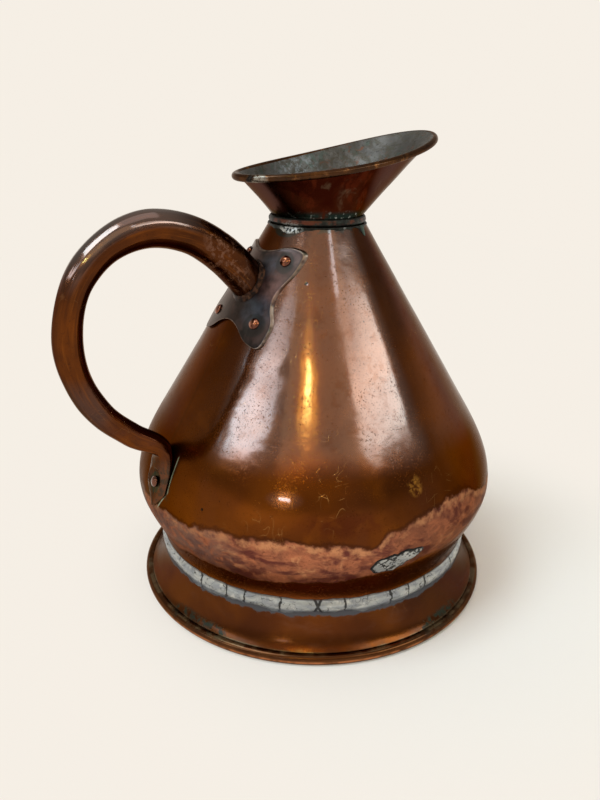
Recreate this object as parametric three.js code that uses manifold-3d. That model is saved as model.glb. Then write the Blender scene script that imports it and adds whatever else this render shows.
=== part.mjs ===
// Copper haystack jug: a two-gallon measure in sheet copper. A raised body stands on a spreading
// foot with a wired edge, carries a lipped mouth funnel on its neck, and has a tapered hollow
// handle that is riveted on through a four-lobed plate above and through its own leaf below.
// Millimetres, +Z up. The jug's axis is built at x = 0, with the spout towards +X and the handle
// towards -X. The finished group is moved along X so that its bounding box is centred there.

import * as THREE from "three";
import { mergeVertices } from "three/addons/utils/BufferGeometryUtils.js";
import Module from "manifold-3d";

const wasm = await Module();
wasm.setup();

// Fits and facets
const seatGap = 0.3; // between pieces that touch
const rivetSeat = 0.5; // under a flat rivet head on a curved wall
const weldDistance = 1e-4; // points closer than this are one point
const turnSteps = 48; // facets round the jug's axis
const curveSteps = 5; // facets along one bend of a profile
const curlSteps = 5; // facets round a rolled edge
const rivetSteps = 10; // facets round a rivet
const reachThrough = 40; // length of a cutter or prism that passes right through a wall

// Body, one raised sheet
const bodyWall = 1.2;
const waistRadius = 125.7; // outside, where the body meets its foot
const waistHeight = 42;
const waistSlope = 0.21; // radius gained per height, just above the waist
const widestRadius = 144; // outside, of the belly and of the foot's rolled edge alike
const bellyHeight = 93;
const shoulderRadius = 119.5; // outside, where the belly's curve runs into the straight cone
const shoulderHeight = 153;
const neckRadius = 35.9; // outside, at the cut top of the cone
const neckHeight = 290;

// Bottom, a shallow pan set into the body's lower edge
const panWall = 1.4;
const panDrop = 11; // underside below the waist
const panFlange = 9;
const panCorner = 2;
const panLip = 1; // how far the body's lower edge reaches below the pan

// Foot, a flared skirt rolled over a wire
const footWall = 1.2;
const footWireRadius = 2.6;
const footWear = 0.3; // worn off the underside, which leaves a flat ring
const collarDrop = 2; // top edge of the skirt below the waist, against the body
const collarHeight = 7; // down to where the skirt starts to spread
const footCurlEnd = 120; // degrees past the outer side where the roll stops
const footSolderRise = 2.5; // top of the wiped solder above the waist
const footSolderBulge = 1.7; // thickness of the wiped solder over the skirt

// Neck
const neckBandWidth = 5.4;
const neckBandBulge = 2.2; // how far the half-round band stands out from the funnel's spigot
const neckSolderDepth = 4.5; // how far the solder runs down the cone
const neckSolderThickness = 0.9;

// Mouth funnel, with its oval rim rolled over a wire
const funnelWall = 1;
const spigotDepth = 8; // length of the funnel's spigot inside the body
const rimWireRadius = 1.3;
const rimCentre = 18.7; // middle of the oval, forward of the jug's axis
const rimHalfLength = 83.5;
const rimHalfWidth = 50;
const rimHeight = 43.4; // above the neck, at the two sides
const rimRise = 14; // the lip above the sides, and the sides above the back
const rimLift = 4; // extra height of both ends
const rimCurlEnd = -105; // degrees below the outer side where the roll stops

// Handle, a tapered tube flattened to a leaf at its lower end. The leaf's heights are measured
// from the belly's widest point, the root's and the arch's from the neck. A place on the route is
// shares of the reach, of the height from the heel to the arch and of the root's diameter.
const handleWall = 1.4;
const handleSides = 16;
const handleBoreSides = 10;
const stepsPerStation = 3;
const handleRootDrop = 40; // below the neck, where the handle's centre line meets the cone
const handleRootDiameter = 28;
const handleRootTilt = 43; // degrees above level as it leaves the cone
const handleArchRise = 3.5; // highest point of the centre line above the neck
const handleReach = 194.5; // from the jug's axis to the centre line's farthest point
const handleRoute = [
  { out: 0.422, up: 0.865, size: 0.964 },
  { out: 0.555, up: 0.965, size: 0.893 },
  { out: 0.71, up: 1, size: 0.893 },
  { out: 0.853, up: 0.939, size: 0.821 },
  { out: 0.956, up: 0.797, size: 0.75 },
  { out: 1, up: 0.585, size: 0.732 },
  { out: 0.979, up: 0.392, size: 0.714 },
  { out: 0.907, up: 0.225, size: 0.679 },
  { out: 0.81, up: 0.106, size: 0.655 },
];
const heelRise = 45;
const heelWidth = 21;
const heelDepth = 14;
const leafWidth = 29;
const leafThickness = 2.4;
const leafTopRise = 31;
const leafMiddleRise = 17;
const leafTipRise = 2;
const leafTipWidth = 3;
const leafDishMargin = 1.5; // round the rivet's head

// Handle plate and rivets. An outline point is its side distance from the handle's plane and
// its rise above the handle's root; the outline is drawn flat and cut out of the cone's curve.
const plateThickness = 1.6;
const plateTopDip = { side: 0, rise: 23 };
const plateUpperShoulder = { side: 21, rise: 27 };
const plateUpperTip = { side: 33, rise: 25 };
const plateOuterShoulder = { side: 34.5, rise: 8.5 };
const plateWaist = { side: 23, rise: -6 };
const plateLowerShoulder = { side: 36, rise: -21.5 };
const plateLowerTip = { side: 37.5, rise: -37.5 };
const plateInnerShoulder = { side: 22, rise: -34 };
const plateBottomDip = { side: 0, rise: -24 };
const plateSolderWidth = 2.6;
const plateSolderLength = 4;
const upperRivet = { turn: 28.5, rise: 17.5 };
const lowerRivet = { turn: 19.5, rise: -23.5 };
const leafRivetRise = 20; // above the belly's widest point
const rivetHeadRadius = 4.2;
const rivetHeadHeight = 2.5;
const rivetShankRadius = 2;
const rivetTailRadius = 4;
const rivetTailHeight = 1.4;

// Repair patch of solder on the belly, on the side to the right of the handle
const patchTurn = -102; // degrees from the spout
const patchDrop = 14; // below the belly's widest point
const patchLength = 37;
const patchWidth = 14;
const patchTilt = 14; // degrees
const patchThickness = 0.9;

// Finishes
const agedCopper = { color: 0x8a4a24, roughness: 0.28, metalness: 1 };
const darkCopper = { color: 0x5e3222, roughness: 0.34, metalness: 1 };
const platePatina = { color: 0x4a3a33, roughness: 0.42, metalness: 1 };
const brightCopper = { color: 0xb8693f, roughness: 0.3, metalness: 1 };
const wipedSolder = { color: 0xb9b9b4, roughness: 0.5, metalness: 0.9 };
const ironWire = { color: 0x4b4744, roughness: 0.6, metalness: 1 };

const radians = THREE.MathUtils.degToRad;

// Points on a circle in a profile's plane, both ends included
function arc(centreX, centreY, radius, fromDegrees, toDegrees, steps) {
  const points = [];
  for (let i = 0; i <= steps; i += 1) {
    const angle = radians(THREE.MathUtils.lerp(fromDegrees, toDegrees, i / steps));
    const x = centreX + radius * Math.cos(angle);
    points.push(new THREE.Vector2(x, centreY + radius * Math.sin(angle)));
  }
  return points;
}

// A polyline moved sideways by a distance, to the left of its direction
function offsetLine(points, distance) {
  return points.map((point, i) => {
    const before = points[Math.max(i - 1, 0)];
    const after = points[Math.min(i + 1, points.length - 1)];
    const first = point.equals(before) ? after.clone().sub(point) : point.clone().sub(before);
    const second = point.equals(after) ? first.clone() : after.clone().sub(point);
    first.normalize();
    second.normalize();
    const bisector = first.clone().add(second).normalize();
    const stretch = distance / bisector.dot(first);
    return new THREE.Vector2(point.x - bisector.y * stretch, point.y + bisector.x * stretch);
  });
}

// The radius of a profile at one height, the profile running upwards
function radiusAt(profile, height) {
  for (let i = 1; i < profile.length; i += 1) {
    const low = profile[i - 1];
    const high = profile[i];
    if (height <= high.y && height >= low.y && high.y > low.y) {
      return THREE.MathUtils.lerp(low.x, high.x, (height - low.y) / (high.y - low.y));
    }
  }
  return height < profile[0].y ? profile[0].x : profile[profile.length - 1].x;
}

// A closed three.js surface as a solid that can be cut and joined
function toSolid(geometry) {
  const bare = geometry.clone();
  bare.deleteAttribute("normal");
  bare.deleteAttribute("uv");
  const merged = mergeVertices(bare, weldDistance);
  const corners = merged.index.array;
  const triangles = [];
  for (let i = 0; i < corners.length; i += 3) {
    const [a, b, c] = [corners[i], corners[i + 1], corners[i + 2]];
    if (a !== b && b !== c && c !== a) {
      triangles.push(a, b, c);
    }
  }
  return new wasm.Manifold(new wasm.Mesh({
    numProp: 3,
    vertProperties: new Float32Array(merged.attributes.position.array),
    triVerts: new Uint32Array(triangles),
  }));
}

function toGeometry(solid) {
  const mesh = solid.getMesh();
  const geometry = new THREE.BufferGeometry();
  geometry.setAttribute("position", new THREE.BufferAttribute(new Float32Array(mesh.vertProperties), 3));
  geometry.setIndex(new THREE.BufferAttribute(new Uint32Array(mesh.triVerts), 1));
  geometry.computeVertexNormals();
  return geometry;
}

// A profile of radius and height turned about the jug's axis. A loop off the axis is closed here.
function turned(profile, steps = turnSteps) {
  const area = profile.reduce((sum, point, i) => {
    const next = profile[(i + 1) % profile.length];
    return sum + point.x * next.y - next.x * point.y;
  }, 0);
  const loop = area > 0 ? [...profile] : [...profile].reverse();
  if (loop[0].x > 0) {
    loop.push(loop[0].clone());
  }
  const geometry = new THREE.LatheGeometry(loop, steps);
  geometry.rotateX(Math.PI / 2);
  return toSolid(geometry);
}

// Equal rings of points joined in order: capped at both ends, or closed into a loop
function lofted(rings, isLoop) {
  const count = rings[0].length;
  const positions = rings.flat().flatMap((point) => [point.x, point.y, point.z]);
  const triangles = [];
  const spans = isLoop ? rings.length : rings.length - 1;
  for (let i = 0; i < spans; i += 1) {
    const here = i * count;
    const there = ((i + 1) % rings.length) * count;
    for (let j = 0; j < count; j += 1) {
      const k = (j + 1) % count;
      triangles.push(here + j, here + k, there + k, here + j, there + k, there + j);
    }
  }
  if (!isLoop) {
    const last = (rings.length - 1) * count;
    for (let j = 1; j < count - 1; j += 1) {
      triangles.push(0, j + 1, j, last, last + j, last + j + 1);
    }
  }
  const geometry = new THREE.BufferGeometry();
  geometry.setAttribute("position", new THREE.Float32BufferAttribute(positions, 3));
  geometry.setIndex(triangles);
  return toSolid(geometry);
}

const jug = new THREE.Group();

function add(name, solid, finish) {
  const mesh = new THREE.Mesh(toGeometry(solid), new THREE.MeshStandardMaterial(finish));
  mesh.name = name;
  jug.add(mesh);
  return mesh;
}

// Body profile, outside, from its lower edge to the neck
const coneSlope = (shoulderRadius - neckRadius) / (neckHeight - shoulderHeight);
const panHeight = waistHeight - panDrop;

function bodyOutside() {
  const lowerReach = (bellyHeight - waistHeight) / 3;
  const upperReach = (shoulderHeight - bellyHeight) / 3;
  const lower = new THREE.CubicBezierCurve(
    new THREE.Vector2(waistRadius, waistHeight),
    new THREE.Vector2(waistRadius + waistSlope * lowerReach, waistHeight + lowerReach),
    new THREE.Vector2(widestRadius, bellyHeight - lowerReach),
    new THREE.Vector2(widestRadius, bellyHeight),
  );
  const upper = new THREE.CubicBezierCurve(
    new THREE.Vector2(widestRadius, bellyHeight),
    new THREE.Vector2(widestRadius, bellyHeight + upperReach),
    new THREE.Vector2(shoulderRadius + coneSlope * upperReach, shoulderHeight - upperReach),
    new THREE.Vector2(shoulderRadius, shoulderHeight),
  );
  return [
    new THREE.Vector2(waistRadius, panHeight - panLip),
    ...lower.getPoints(curveSteps),
    ...upper.getPoints(curveSteps).slice(1),
    new THREE.Vector2(neckRadius, neckHeight),
  ];
}

const bodyProfile = bodyOutside();

// Everything inside the body's outside surface, grown by a distance
function bodyEnvelope(growth) {
  const side = offsetLine(bodyProfile, -growth);
  const top = side[side.length - 1];
  return turned([new THREE.Vector2(0, side[0].y), ...side, new THREE.Vector2(0, top.y)]);
}

// The body's outside at a turn from the spout and a height: a point and its outward normal
function onBody(turnDegrees, height) {
  const radius = radiusAt(bodyProfile, height);
  const step = 0.5;
  const change = radiusAt(bodyProfile, height + step) - radiusAt(bodyProfile, height - step);
  const angle = radians(turnDegrees);
  const outward = new THREE.Vector3(Math.cos(angle), Math.sin(angle), 0);
  const point = outward.clone().multiplyScalar(radius);
  point.z = height;
  const normal = outward.clone().setZ(-change / (2 * step)).normalize();
  return { point, normal };
}

function turnTo(normal) {
  return new THREE.Quaternion().setFromUnitVectors(new THREE.Vector3(0, 0, 1), normal);
}

// Rivets: a domed head outside, a flat one inside, and a hole through every sheet between them
const handleRootHeight = neckHeight - handleRootDrop;
const plateRivets = [
  onBody(180 + upperRivet.turn, handleRootHeight + upperRivet.rise),
  onBody(180 - upperRivet.turn, handleRootHeight + upperRivet.rise),
  onBody(180 + lowerRivet.turn, handleRootHeight + lowerRivet.rise),
  onBody(180 - lowerRivet.turn, handleRootHeight + lowerRivet.rise),
];
const leafRivet = onBody(180, bellyHeight + leafRivetRise);

// A round cutter along a rivet, between two distances from the body's outside
function rivetCutter(place, radius, from, to) {
  const cutter = new THREE.CylinderGeometry(radius, radius, to - from, rivetSteps);
  cutter.rotateX(Math.PI / 2);
  cutter.translate(0, 0, (from + to) / 2);
  cutter.applyQuaternion(turnTo(place.normal));
  cutter.translate(place.point.x, place.point.y, place.point.z);
  return toSolid(cutter);
}

function rivetHole(place) {
  return rivetCutter(place, rivetShankRadius + seatGap, -reachThrough / 2, reachThrough / 2);
}

function addRivet(name, place, sheetThickness) {
  const headBase = seatGap + sheetThickness + rivetSeat;
  const tailTop = -bodyWall - rivetSeat;
  const tailBottom = tailTop - rivetTailHeight;
  const dome = [0, 0.45, 0.8].map((share) => new THREE.Vector2(
    rivetHeadRadius * Math.sqrt(1 - share * share),
    headBase + rivetHeadHeight * share,
  ));
  const profile = [
    new THREE.Vector2(0, tailBottom),
    new THREE.Vector2(rivetTailRadius, tailBottom),
    new THREE.Vector2(rivetTailRadius, tailTop),
    new THREE.Vector2(rivetShankRadius, tailTop),
    new THREE.Vector2(rivetShankRadius, headBase),
    ...dome,
    new THREE.Vector2(0, headBase + rivetHeadHeight),
  ];
  const mesh = add(name, turned(profile, rivetSteps), brightCopper);
  mesh.position.copy(place.point);
  mesh.quaternion.copy(turnTo(place.normal));
}

// Body
function makeBody() {
  let shell = turned([...bodyProfile, ...offsetLine(bodyProfile, bodyWall).reverse()]);
  for (const place of [...plateRivets, leafRivet]) {
    shell = shell.subtract(rivetHole(place));
  }
  add("body_shell", shell, agedCopper);
}

// Bottom pan
function makePan() {
  const outer = waistRadius - bodyWall - seatGap;
  const top = panHeight + panFlange;
  const outside = [
    new THREE.Vector2(0, panHeight),
    new THREE.Vector2(outer - panCorner, panHeight),
    new THREE.Vector2(outer, panHeight + panCorner),
    new THREE.Vector2(outer, top),
  ];
  const inside = offsetLine(outside, panWall).reverse();
  inside[0].y = top;
  inside[inside.length - 1].x = 0;
  add("bottom_pan", turned([...outside, ...inside]), darkCopper);
}

// Foot skirt: collar, flare and the roll round the wire
const collarInner = waistRadius + seatGap;
const collarOuter = collarInner + footWall;
const collarTop = waistHeight - collarDrop;
const flareTop = collarTop - collarHeight;
const footCurlInner = footWireRadius + seatGap;
const footCurlOuter = footCurlInner + footWall;
const footBeadRadius = widestRadius - footCurlOuter;
const footBeadHeight = footCurlOuter - footWear;

function makeFoot() {
  const skirtFoot = new THREE.Vector2(footBeadRadius - footCurlInner, footBeadHeight + footCurlInner);
  const flare = new THREE.CubicBezierCurve(
    new THREE.Vector2(collarOuter, flareTop),
    new THREE.Vector2(collarOuter + footWall, THREE.MathUtils.lerp(flareTop, skirtFoot.y, 0.35)),
    new THREE.Vector2(skirtFoot.x - footWall, THREE.MathUtils.lerp(flareTop, skirtFoot.y, 0.75)),
    skirtFoot,
  );
  const outside = [
    new THREE.Vector2(collarOuter, collarTop),
    ...flare.getPoints(curveSteps),
    new THREE.Vector2(skirtFoot.x, footBeadHeight),
  ];
  const inside = offsetLine(outside, -footWall);
  const flatHalf = THREE.MathUtils.radToDeg(Math.acos(footBeadHeight / footCurlOuter));
  const rollEnd = 360 + footCurlEnd;
  const aroundWire = arc(footBeadRadius, footBeadHeight, footCurlInner, 180, rollEnd, curlSteps);
  const underside = arc(footBeadRadius, footBeadHeight, footCurlOuter, 270 - flatHalf, 180, 2);
  const outerRoll = arc(footBeadRadius, footBeadHeight, footCurlOuter, rollEnd, 270 + flatHalf, curlSteps);
  const loop = [
    ...outside.slice(0, -1),
    ...aroundWire,
    ...outerRoll,
    ...underside,
    ...inside.slice(0, -1).reverse(),
  ];
  add("foot_skirt", turned(loop), agedCopper);
  add("foot_wire", turned(arc(footBeadRadius, footBeadHeight, footWireRadius, 0, 300, 5)), ironWire);
}

// Wiped solder over the joint of body and foot
function makeFootSolder() {
  const crest = collarOuter + footSolderBulge;
  const footSolderTop = waistHeight + footSolderRise;
  const loop = [
    new THREE.Vector2(radiusAt(bodyProfile, footSolderTop) + seatGap, footSolderTop),
    new THREE.Vector2(waistRadius + seatGap, waistHeight),
    new THREE.Vector2(waistRadius + seatGap, collarTop + seatGap),
    new THREE.Vector2(collarOuter + seatGap, collarTop + seatGap),
    new THREE.Vector2(collarOuter + seatGap, flareTop),
    new THREE.Vector2(crest, flareTop + footSolderBulge / 2),
    new THREE.Vector2(crest, THREE.MathUtils.lerp(flareTop, collarTop, 0.6)),
    new THREE.Vector2(THREE.MathUtils.lerp(crest, waistRadius, 0.35), waistHeight),
  ];
  add("foot_solder", turned(loop), wipedSolder);
}

// Neck: the funnel's spigot, the half-round band on the cut cone and the solder below it
const neckBore = neckRadius - bodyWall * Math.hypot(1, coneSlope);
const spigotRadius = neckBore - seatGap;
const bandBottom = neckHeight + seatGap;
const bandTop = bandBottom + neckBandWidth;
const throatHeight = bandTop + seatGap;

function makeNeckBand() {
  const inner = spigotRadius + seatGap;
  const outer = spigotRadius + neckBandBulge;
  const chamfer = neckBandWidth / 4;
  const loop = [
    new THREE.Vector2(inner, bandBottom),
    new THREE.Vector2(THREE.MathUtils.lerp(inner, outer, 0.55), bandBottom),
    new THREE.Vector2(outer, bandBottom + chamfer),
    new THREE.Vector2(outer, bandTop - chamfer),
    new THREE.Vector2(THREE.MathUtils.lerp(inner, outer, 0.55), bandTop),
    new THREE.Vector2(inner, bandTop),
  ];
  add("neck_band", turned(loop), darkCopper);
}

function makeNeckSolder() {
  const low = neckHeight - neckSolderDepth;
  const middle = neckHeight - neckSolderDepth / 2;
  const lift = seatGap * Math.hypot(1, coneSlope);
  const loop = [
    new THREE.Vector2(radiusAt(bodyProfile, low) + lift, low),
    new THREE.Vector2(radiusAt(bodyProfile, middle) + lift + neckSolderThickness, middle),
    new THREE.Vector2(neckRadius + lift + neckSolderThickness, neckHeight),
    new THREE.Vector2(neckRadius + lift, neckHeight),
  ];
  add("neck_solder", turned(loop), wipedSolder);
}

// Mouth: for each step round the axis, the rim's centre and the local directions of the wall
function rimPlaces() {
  const places = [];
  for (let i = 0; i < turnSteps; i += 1) {
    const turn = (2 * Math.PI * i) / turnSteps;
    const [forward, aside] = [Math.cos(turn), Math.sin(turn)];
    const throat = new THREE.Vector3(spigotRadius * forward, spigotRadius * aside, throatHeight);
    const centre = new THREE.Vector3(
      rimCentre + rimHalfLength * forward,
      rimHalfWidth * aside,
      neckHeight + rimHeight + rimRise * forward + rimLift * forward * forward,
    );
    const along = new THREE.Vector3(
      -rimHalfLength * aside,
      rimHalfWidth * forward,
      -rimRise * aside - 2 * rimLift * forward * aside,
    );
    const up = centre.clone().sub(throat).normalize();
    const outward = new THREE.Vector3().crossVectors(along, up).normalize();
    places.push({ forward, aside, centre, up, outward });
  }
  return places;
}

function rimPoint(place, point) {
  const { centre, up, outward } = place;
  return centre.clone().addScaledVector(outward, point.x).addScaledVector(up, point.y);
}

function makeFunnel() {
  const curlInner = rimWireRadius + seatGap;
  const curlOuter = curlInner + funnelWall;
  const outerRoll = arc(0, 0, curlOuter, 180, rimCurlEnd, curlSteps);
  const aroundWire = arc(0, 0, curlInner, rimCurlEnd, 180, curlSteps);
  const spigotBottom = neckHeight - spigotDepth;
  const places = rimPlaces();
  const sections = places.map((place) => {
    const ring = (radius, height) => new THREE.Vector3(
      radius * place.forward,
      radius * place.aside,
      height,
    );
    return [
      ring(spigotRadius - funnelWall, spigotBottom),
      ring(spigotRadius - funnelWall, throatHeight),
      ...outerRoll.map((point) => rimPoint(place, point)),
      ...aroundWire.map((point) => rimPoint(place, point)),
      ring(spigotRadius, throatHeight),
      ring(spigotRadius, spigotBottom),
    ];
  });
  add("mouth_funnel", lofted(sections, true), darkCopper);
  const wireSection = arc(0, 0, rimWireRadius, 0, -300, 5);
  const wire = places.map((place) => wireSection.map((point) => rimPoint(place, point)));
  add("rim_wire", lofted(wire, true), ironWire);
}

// Handle: stations along its centre line, each with its width across and its depth in the plane.
// The first lies inside the cone, the route's own ones follow, and the last four lie on the belly.
function handleStations() {
  const root = onBody(180, handleRootHeight).point;
  const tilt = radians(handleRootTilt);
  const inset = handleRootDiameter / 2;
  const heelHeight = bellyHeight + heelRise;
  const archHeight = neckHeight + handleArchRise;
  const onBelly = (rise, lift, across, deep) => ({
    x: -radiusAt(bodyProfile, bellyHeight + rise) - seatGap - lift,
    z: bellyHeight + rise,
    across,
    deep,
  });
  return [
    {
      x: root.x + inset * Math.cos(tilt),
      z: root.z - inset * Math.sin(tilt),
      across: handleRootDiameter,
      deep: handleRootDiameter,
    },
    ...handleRoute.map((place) => ({
      x: -handleReach * place.out,
      z: THREE.MathUtils.lerp(heelHeight, archHeight, place.up),
      across: handleRootDiameter * place.size,
      deep: handleRootDiameter * place.size,
    })),
    onBelly(heelRise, heelDepth / 2, heelWidth, heelDepth),
    onBelly(leafTopRise, leafThickness / 2, leafWidth, 3 * leafThickness),
    onBelly(leafMiddleRise, 0, leafWidth, 2 * leafThickness),
    onBelly(leafTipRise, 0, leafTipWidth, 2 * leafThickness),
  ];
}

// The handle's outer form grown by a distance, from its start to one of its stations
function handleForm(growth, sides, lastStation) {
  const stations = handleStations();
  const route = new THREE.CatmullRomCurve3(
    stations.map((station) => new THREE.Vector3(station.x, 0, station.z)),
    false,
    "centripetal",
  );
  const sizes = new THREE.CatmullRomCurve3(
    stations.map((station) => new THREE.Vector3(station.across, station.deep, 0)),
    false,
    "centripetal",
  );
  const allSteps = stepsPerStation * (stations.length - 1);
  const across = new THREE.Vector3(0, 1, 0);
  const rings = [];
  for (let i = 0; i <= stepsPerStation * lastStation; i += 1) {
    const centre = route.getPoint(i / allSteps);
    const size = sizes.getPoint(i / allSteps);
    const outward = new THREE.Vector3().crossVectors(route.getTangent(i / allSteps), across);
    const ring = [];
    for (let j = 0; j < sides; j += 1) {
      const angle = (2 * Math.PI * j) / sides;
      const point = centre.clone();
      point.addScaledVector(across, (size.x / 2 + growth) * Math.cos(angle));
      point.addScaledVector(outward, (size.y / 2 + growth) * Math.sin(angle));
      ring.push(point);
    }
    rings.push(ring);
  }
  return lofted(rings, false);
}

// The space that the plate and what lies under it take up, above the leaf
function plateSeat(growth) {
  const upperHalf = turned([
    new THREE.Vector2(0, shoulderHeight),
    new THREE.Vector2(widestRadius, shoulderHeight),
    new THREE.Vector2(widestRadius, neckHeight),
    new THREE.Vector2(0, neckHeight),
  ]);
  return bodyEnvelope(growth).intersect(upperHalf);
}

// The tube is hollow down to its route's last station, just above the heel. The leaf is dished
// flat round its rivet.
function makeHandle() {
  const dishFloor = seatGap + leafThickness;
  const tube = handleForm(0, handleSides, handleStations().length - 1)
    .subtract(handleForm(-handleWall, handleBoreSides, handleRoute.length))
    .subtract(bodyEnvelope(seatGap))
    .subtract(plateSeat(plateThickness + 2 * seatGap))
    .subtract(rivetHole(leafRivet))
    .subtract(rivetCutter(leafRivet, rivetHeadRadius + leafDishMargin, dishFloor, reachThrough / 2));
  add("handle_tube", tube, agedCopper);
}

// A flat outline of side and height pushed through the wall on the handle's side
function prismTowardsHandle(shape, depth) {
  const prism = new THREE.ExtrudeGeometry(shape, { depth, bevelEnabled: false, curveSegments: curveSteps });
  prism.rotateX(Math.PI / 2);
  prism.rotateZ(-Math.PI / 2);
  return toSolid(prism);
}

function makePlate() {
  const outline = new THREE.Shape();
  const heightOf = (point) => handleRootHeight + point.rise;
  const lineTo = (point, way) => outline.lineTo(point.side * way, heightOf(point));
  const bendTo = (bend, point, way) => outline.quadraticCurveTo(
    bend.side * way,
    heightOf(bend),
    point.side * way,
    heightOf(point),
  );
  const topBend = { side: plateUpperShoulder.side / 2, rise: plateTopDip.rise };
  const bottomBend = { side: plateInnerShoulder.side / 2, rise: plateBottomDip.rise };
  outline.moveTo(plateTopDip.side, heightOf(plateTopDip));
  bendTo(topBend, plateUpperShoulder, 1);
  lineTo(plateUpperTip, 1);
  lineTo(plateOuterShoulder, 1);
  bendTo(plateWaist, plateLowerShoulder, 1);
  lineTo(plateLowerTip, 1);
  lineTo(plateInnerShoulder, 1);
  bendTo(bottomBend, plateBottomDip, 1);
  bendTo(bottomBend, plateInnerShoulder, -1);
  lineTo(plateLowerTip, -1);
  lineTo(plateLowerShoulder, -1);
  bendTo(plateWaist, plateOuterShoulder, -1);
  lineTo(plateUpperTip, -1);
  lineTo(plateUpperShoulder, -1);
  bendTo(topBend, plateTopDip, -1);
  let plate = plateSeat(seatGap + plateThickness)
    .subtract(plateSeat(seatGap))
    .intersect(prismTowardsHandle(outline, widestRadius));
  for (const place of plateRivets) {
    plate = plate.subtract(rivetHole(place));
  }
  add("handle_plate", plate, platePatina);
}

// Solder run round the tube's end where it meets the plate
function makePlateSolder() {
  const solder = handleForm(plateSolderWidth, handleSides, 2)
    .subtract(handleForm(seatGap, handleSides, 3))
    .intersect(plateSeat(plateThickness + 2 * seatGap + plateSolderLength))
    .subtract(plateSeat(plateThickness + 2 * seatGap));
  add("plate_solder", solder, darkCopper);
}

// Repair patch, a flat oval pushed through the belly and cut out of its curve
function makePatch() {
  const outline = new THREE.Shape();
  outline.absellipse(0, 0, patchLength / 2, patchWidth / 2, 0, 2 * Math.PI, false, radians(patchTilt));
  const prism = new THREE.ExtrudeGeometry(outline, {
    depth: reachThrough,
    bevelEnabled: false,
    curveSegments: rivetSteps,
  });
  prism.rotateX(Math.PI / 2);
  prism.rotateZ(radians(patchTurn + 90));
  const patchHeight = bellyHeight - patchDrop;
  const { point } = onBody(patchTurn, patchHeight);
  const back = point.clone().setZ(0).normalize().multiplyScalar(-reachThrough / 2);
  prism.translate(point.x + back.x, point.y + back.y, patchHeight);
  const patch = bodyEnvelope(seatGap + patchThickness)
    .subtract(bodyEnvelope(seatGap))
    .intersect(toSolid(prism));
  add("belly_patch", patch, wipedSolder);
}

makeBody();
makePan();
makeFoot();
makeFootSolder();
makeNeckBand();
makeNeckSolder();
makeFunnel();
makeHandle();
makePlate();
makePlateSolder();
makePatch();
addRivet("leaf_rivet", leafRivet, leafThickness);
plateRivets.forEach((place, i) => addRivet(`plate_rivet_${i + 1}`, place, plateThickness));

const bounds = new THREE.Box3().setFromObject(jug);
jug.position.x = -(bounds.min.x + bounds.max.x) / 2;

export default jug;
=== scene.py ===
"""Copper haystack jug: the looks of every piece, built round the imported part.

Sizes are in millimetres round the jug's own axis, with the spout towards +X, the handle towards
-X and the height measured from the ground. A turn is in degrees from the spout, anticlockwise
from above. make_piece moves each finished mesh into the frame, in metres.
"""

import math

import bpy
import numpy as np
from mathutils import Matrix, Vector, noise


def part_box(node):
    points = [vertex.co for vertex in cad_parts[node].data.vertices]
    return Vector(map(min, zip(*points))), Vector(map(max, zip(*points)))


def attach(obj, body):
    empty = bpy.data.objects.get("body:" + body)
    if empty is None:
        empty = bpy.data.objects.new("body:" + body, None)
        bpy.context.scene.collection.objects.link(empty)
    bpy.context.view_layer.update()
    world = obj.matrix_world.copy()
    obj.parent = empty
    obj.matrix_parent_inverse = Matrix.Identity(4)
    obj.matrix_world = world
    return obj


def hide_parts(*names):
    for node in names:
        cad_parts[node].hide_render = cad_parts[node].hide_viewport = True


MM = 0.001

# The gap between pieces, and the number of sections round the axis
GAP = 0.3
AROUND = 320

# Body
BODY_WALL = 1.2
WAIST_RADIUS = 125.7
WAIST_HEIGHT = 42.0
WAIST_SLOPE = 0.21
WIDEST_RADIUS = 144.0
BELLY_HEIGHT = 93.0
SHOULDER_RADIUS = 119.5
SHOULDER_HEIGHT = 153.0
NECK_RADIUS = 35.9
NECK_HEIGHT = 290.0
SEAM_TURN = 179.0

# Bottom pan
PAN_WALL = 1.4
PAN_HEIGHT = 31.0
PAN_FLANGE = 9.0
PAN_CORNER = 2.0

# Foot
FOOT_WALL = 1.2
FOOT_WIRE_RADIUS = 2.6
FOOT_WEAR = 0.3
COLLAR_TOP = 40.0
FLARE_TOP = 33.0
FOOT_CURL_END = 120.0
FOOT_CREASE_OUT = 1.4
FOOT_CREASE_UP = 1.0
FOOT_SOLDER_TOP = 44.3
FOOT_SOLDER_BOTTOM = 33.0
FOOT_SOLDER_BULGE = 0.9

# Neck and mouth
NECK_BAND_WIDTH = 5.4
NECK_BAND_BULGE = 2.2
NECK_SOLDER_DEPTH = 1.6
FUNNEL_WALL = 1.0
SPIGOT_DEPTH = 8.0
RIM_WIRE_RADIUS = 1.3
RIM_CENTRE = 18.7
RIM_HALF_LENGTH = 83.5
RIM_HALF_WIDTH = 50.0
RIM_HEIGHT = 43.25
RIM_RISE = 14.0
RIM_LIFT = 4.0
RIM_CURL_END = -105.0
LAP_TURN = 172.0
LAP_HEIGHT = 0.6
LAP_FADE = 16.0

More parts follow.
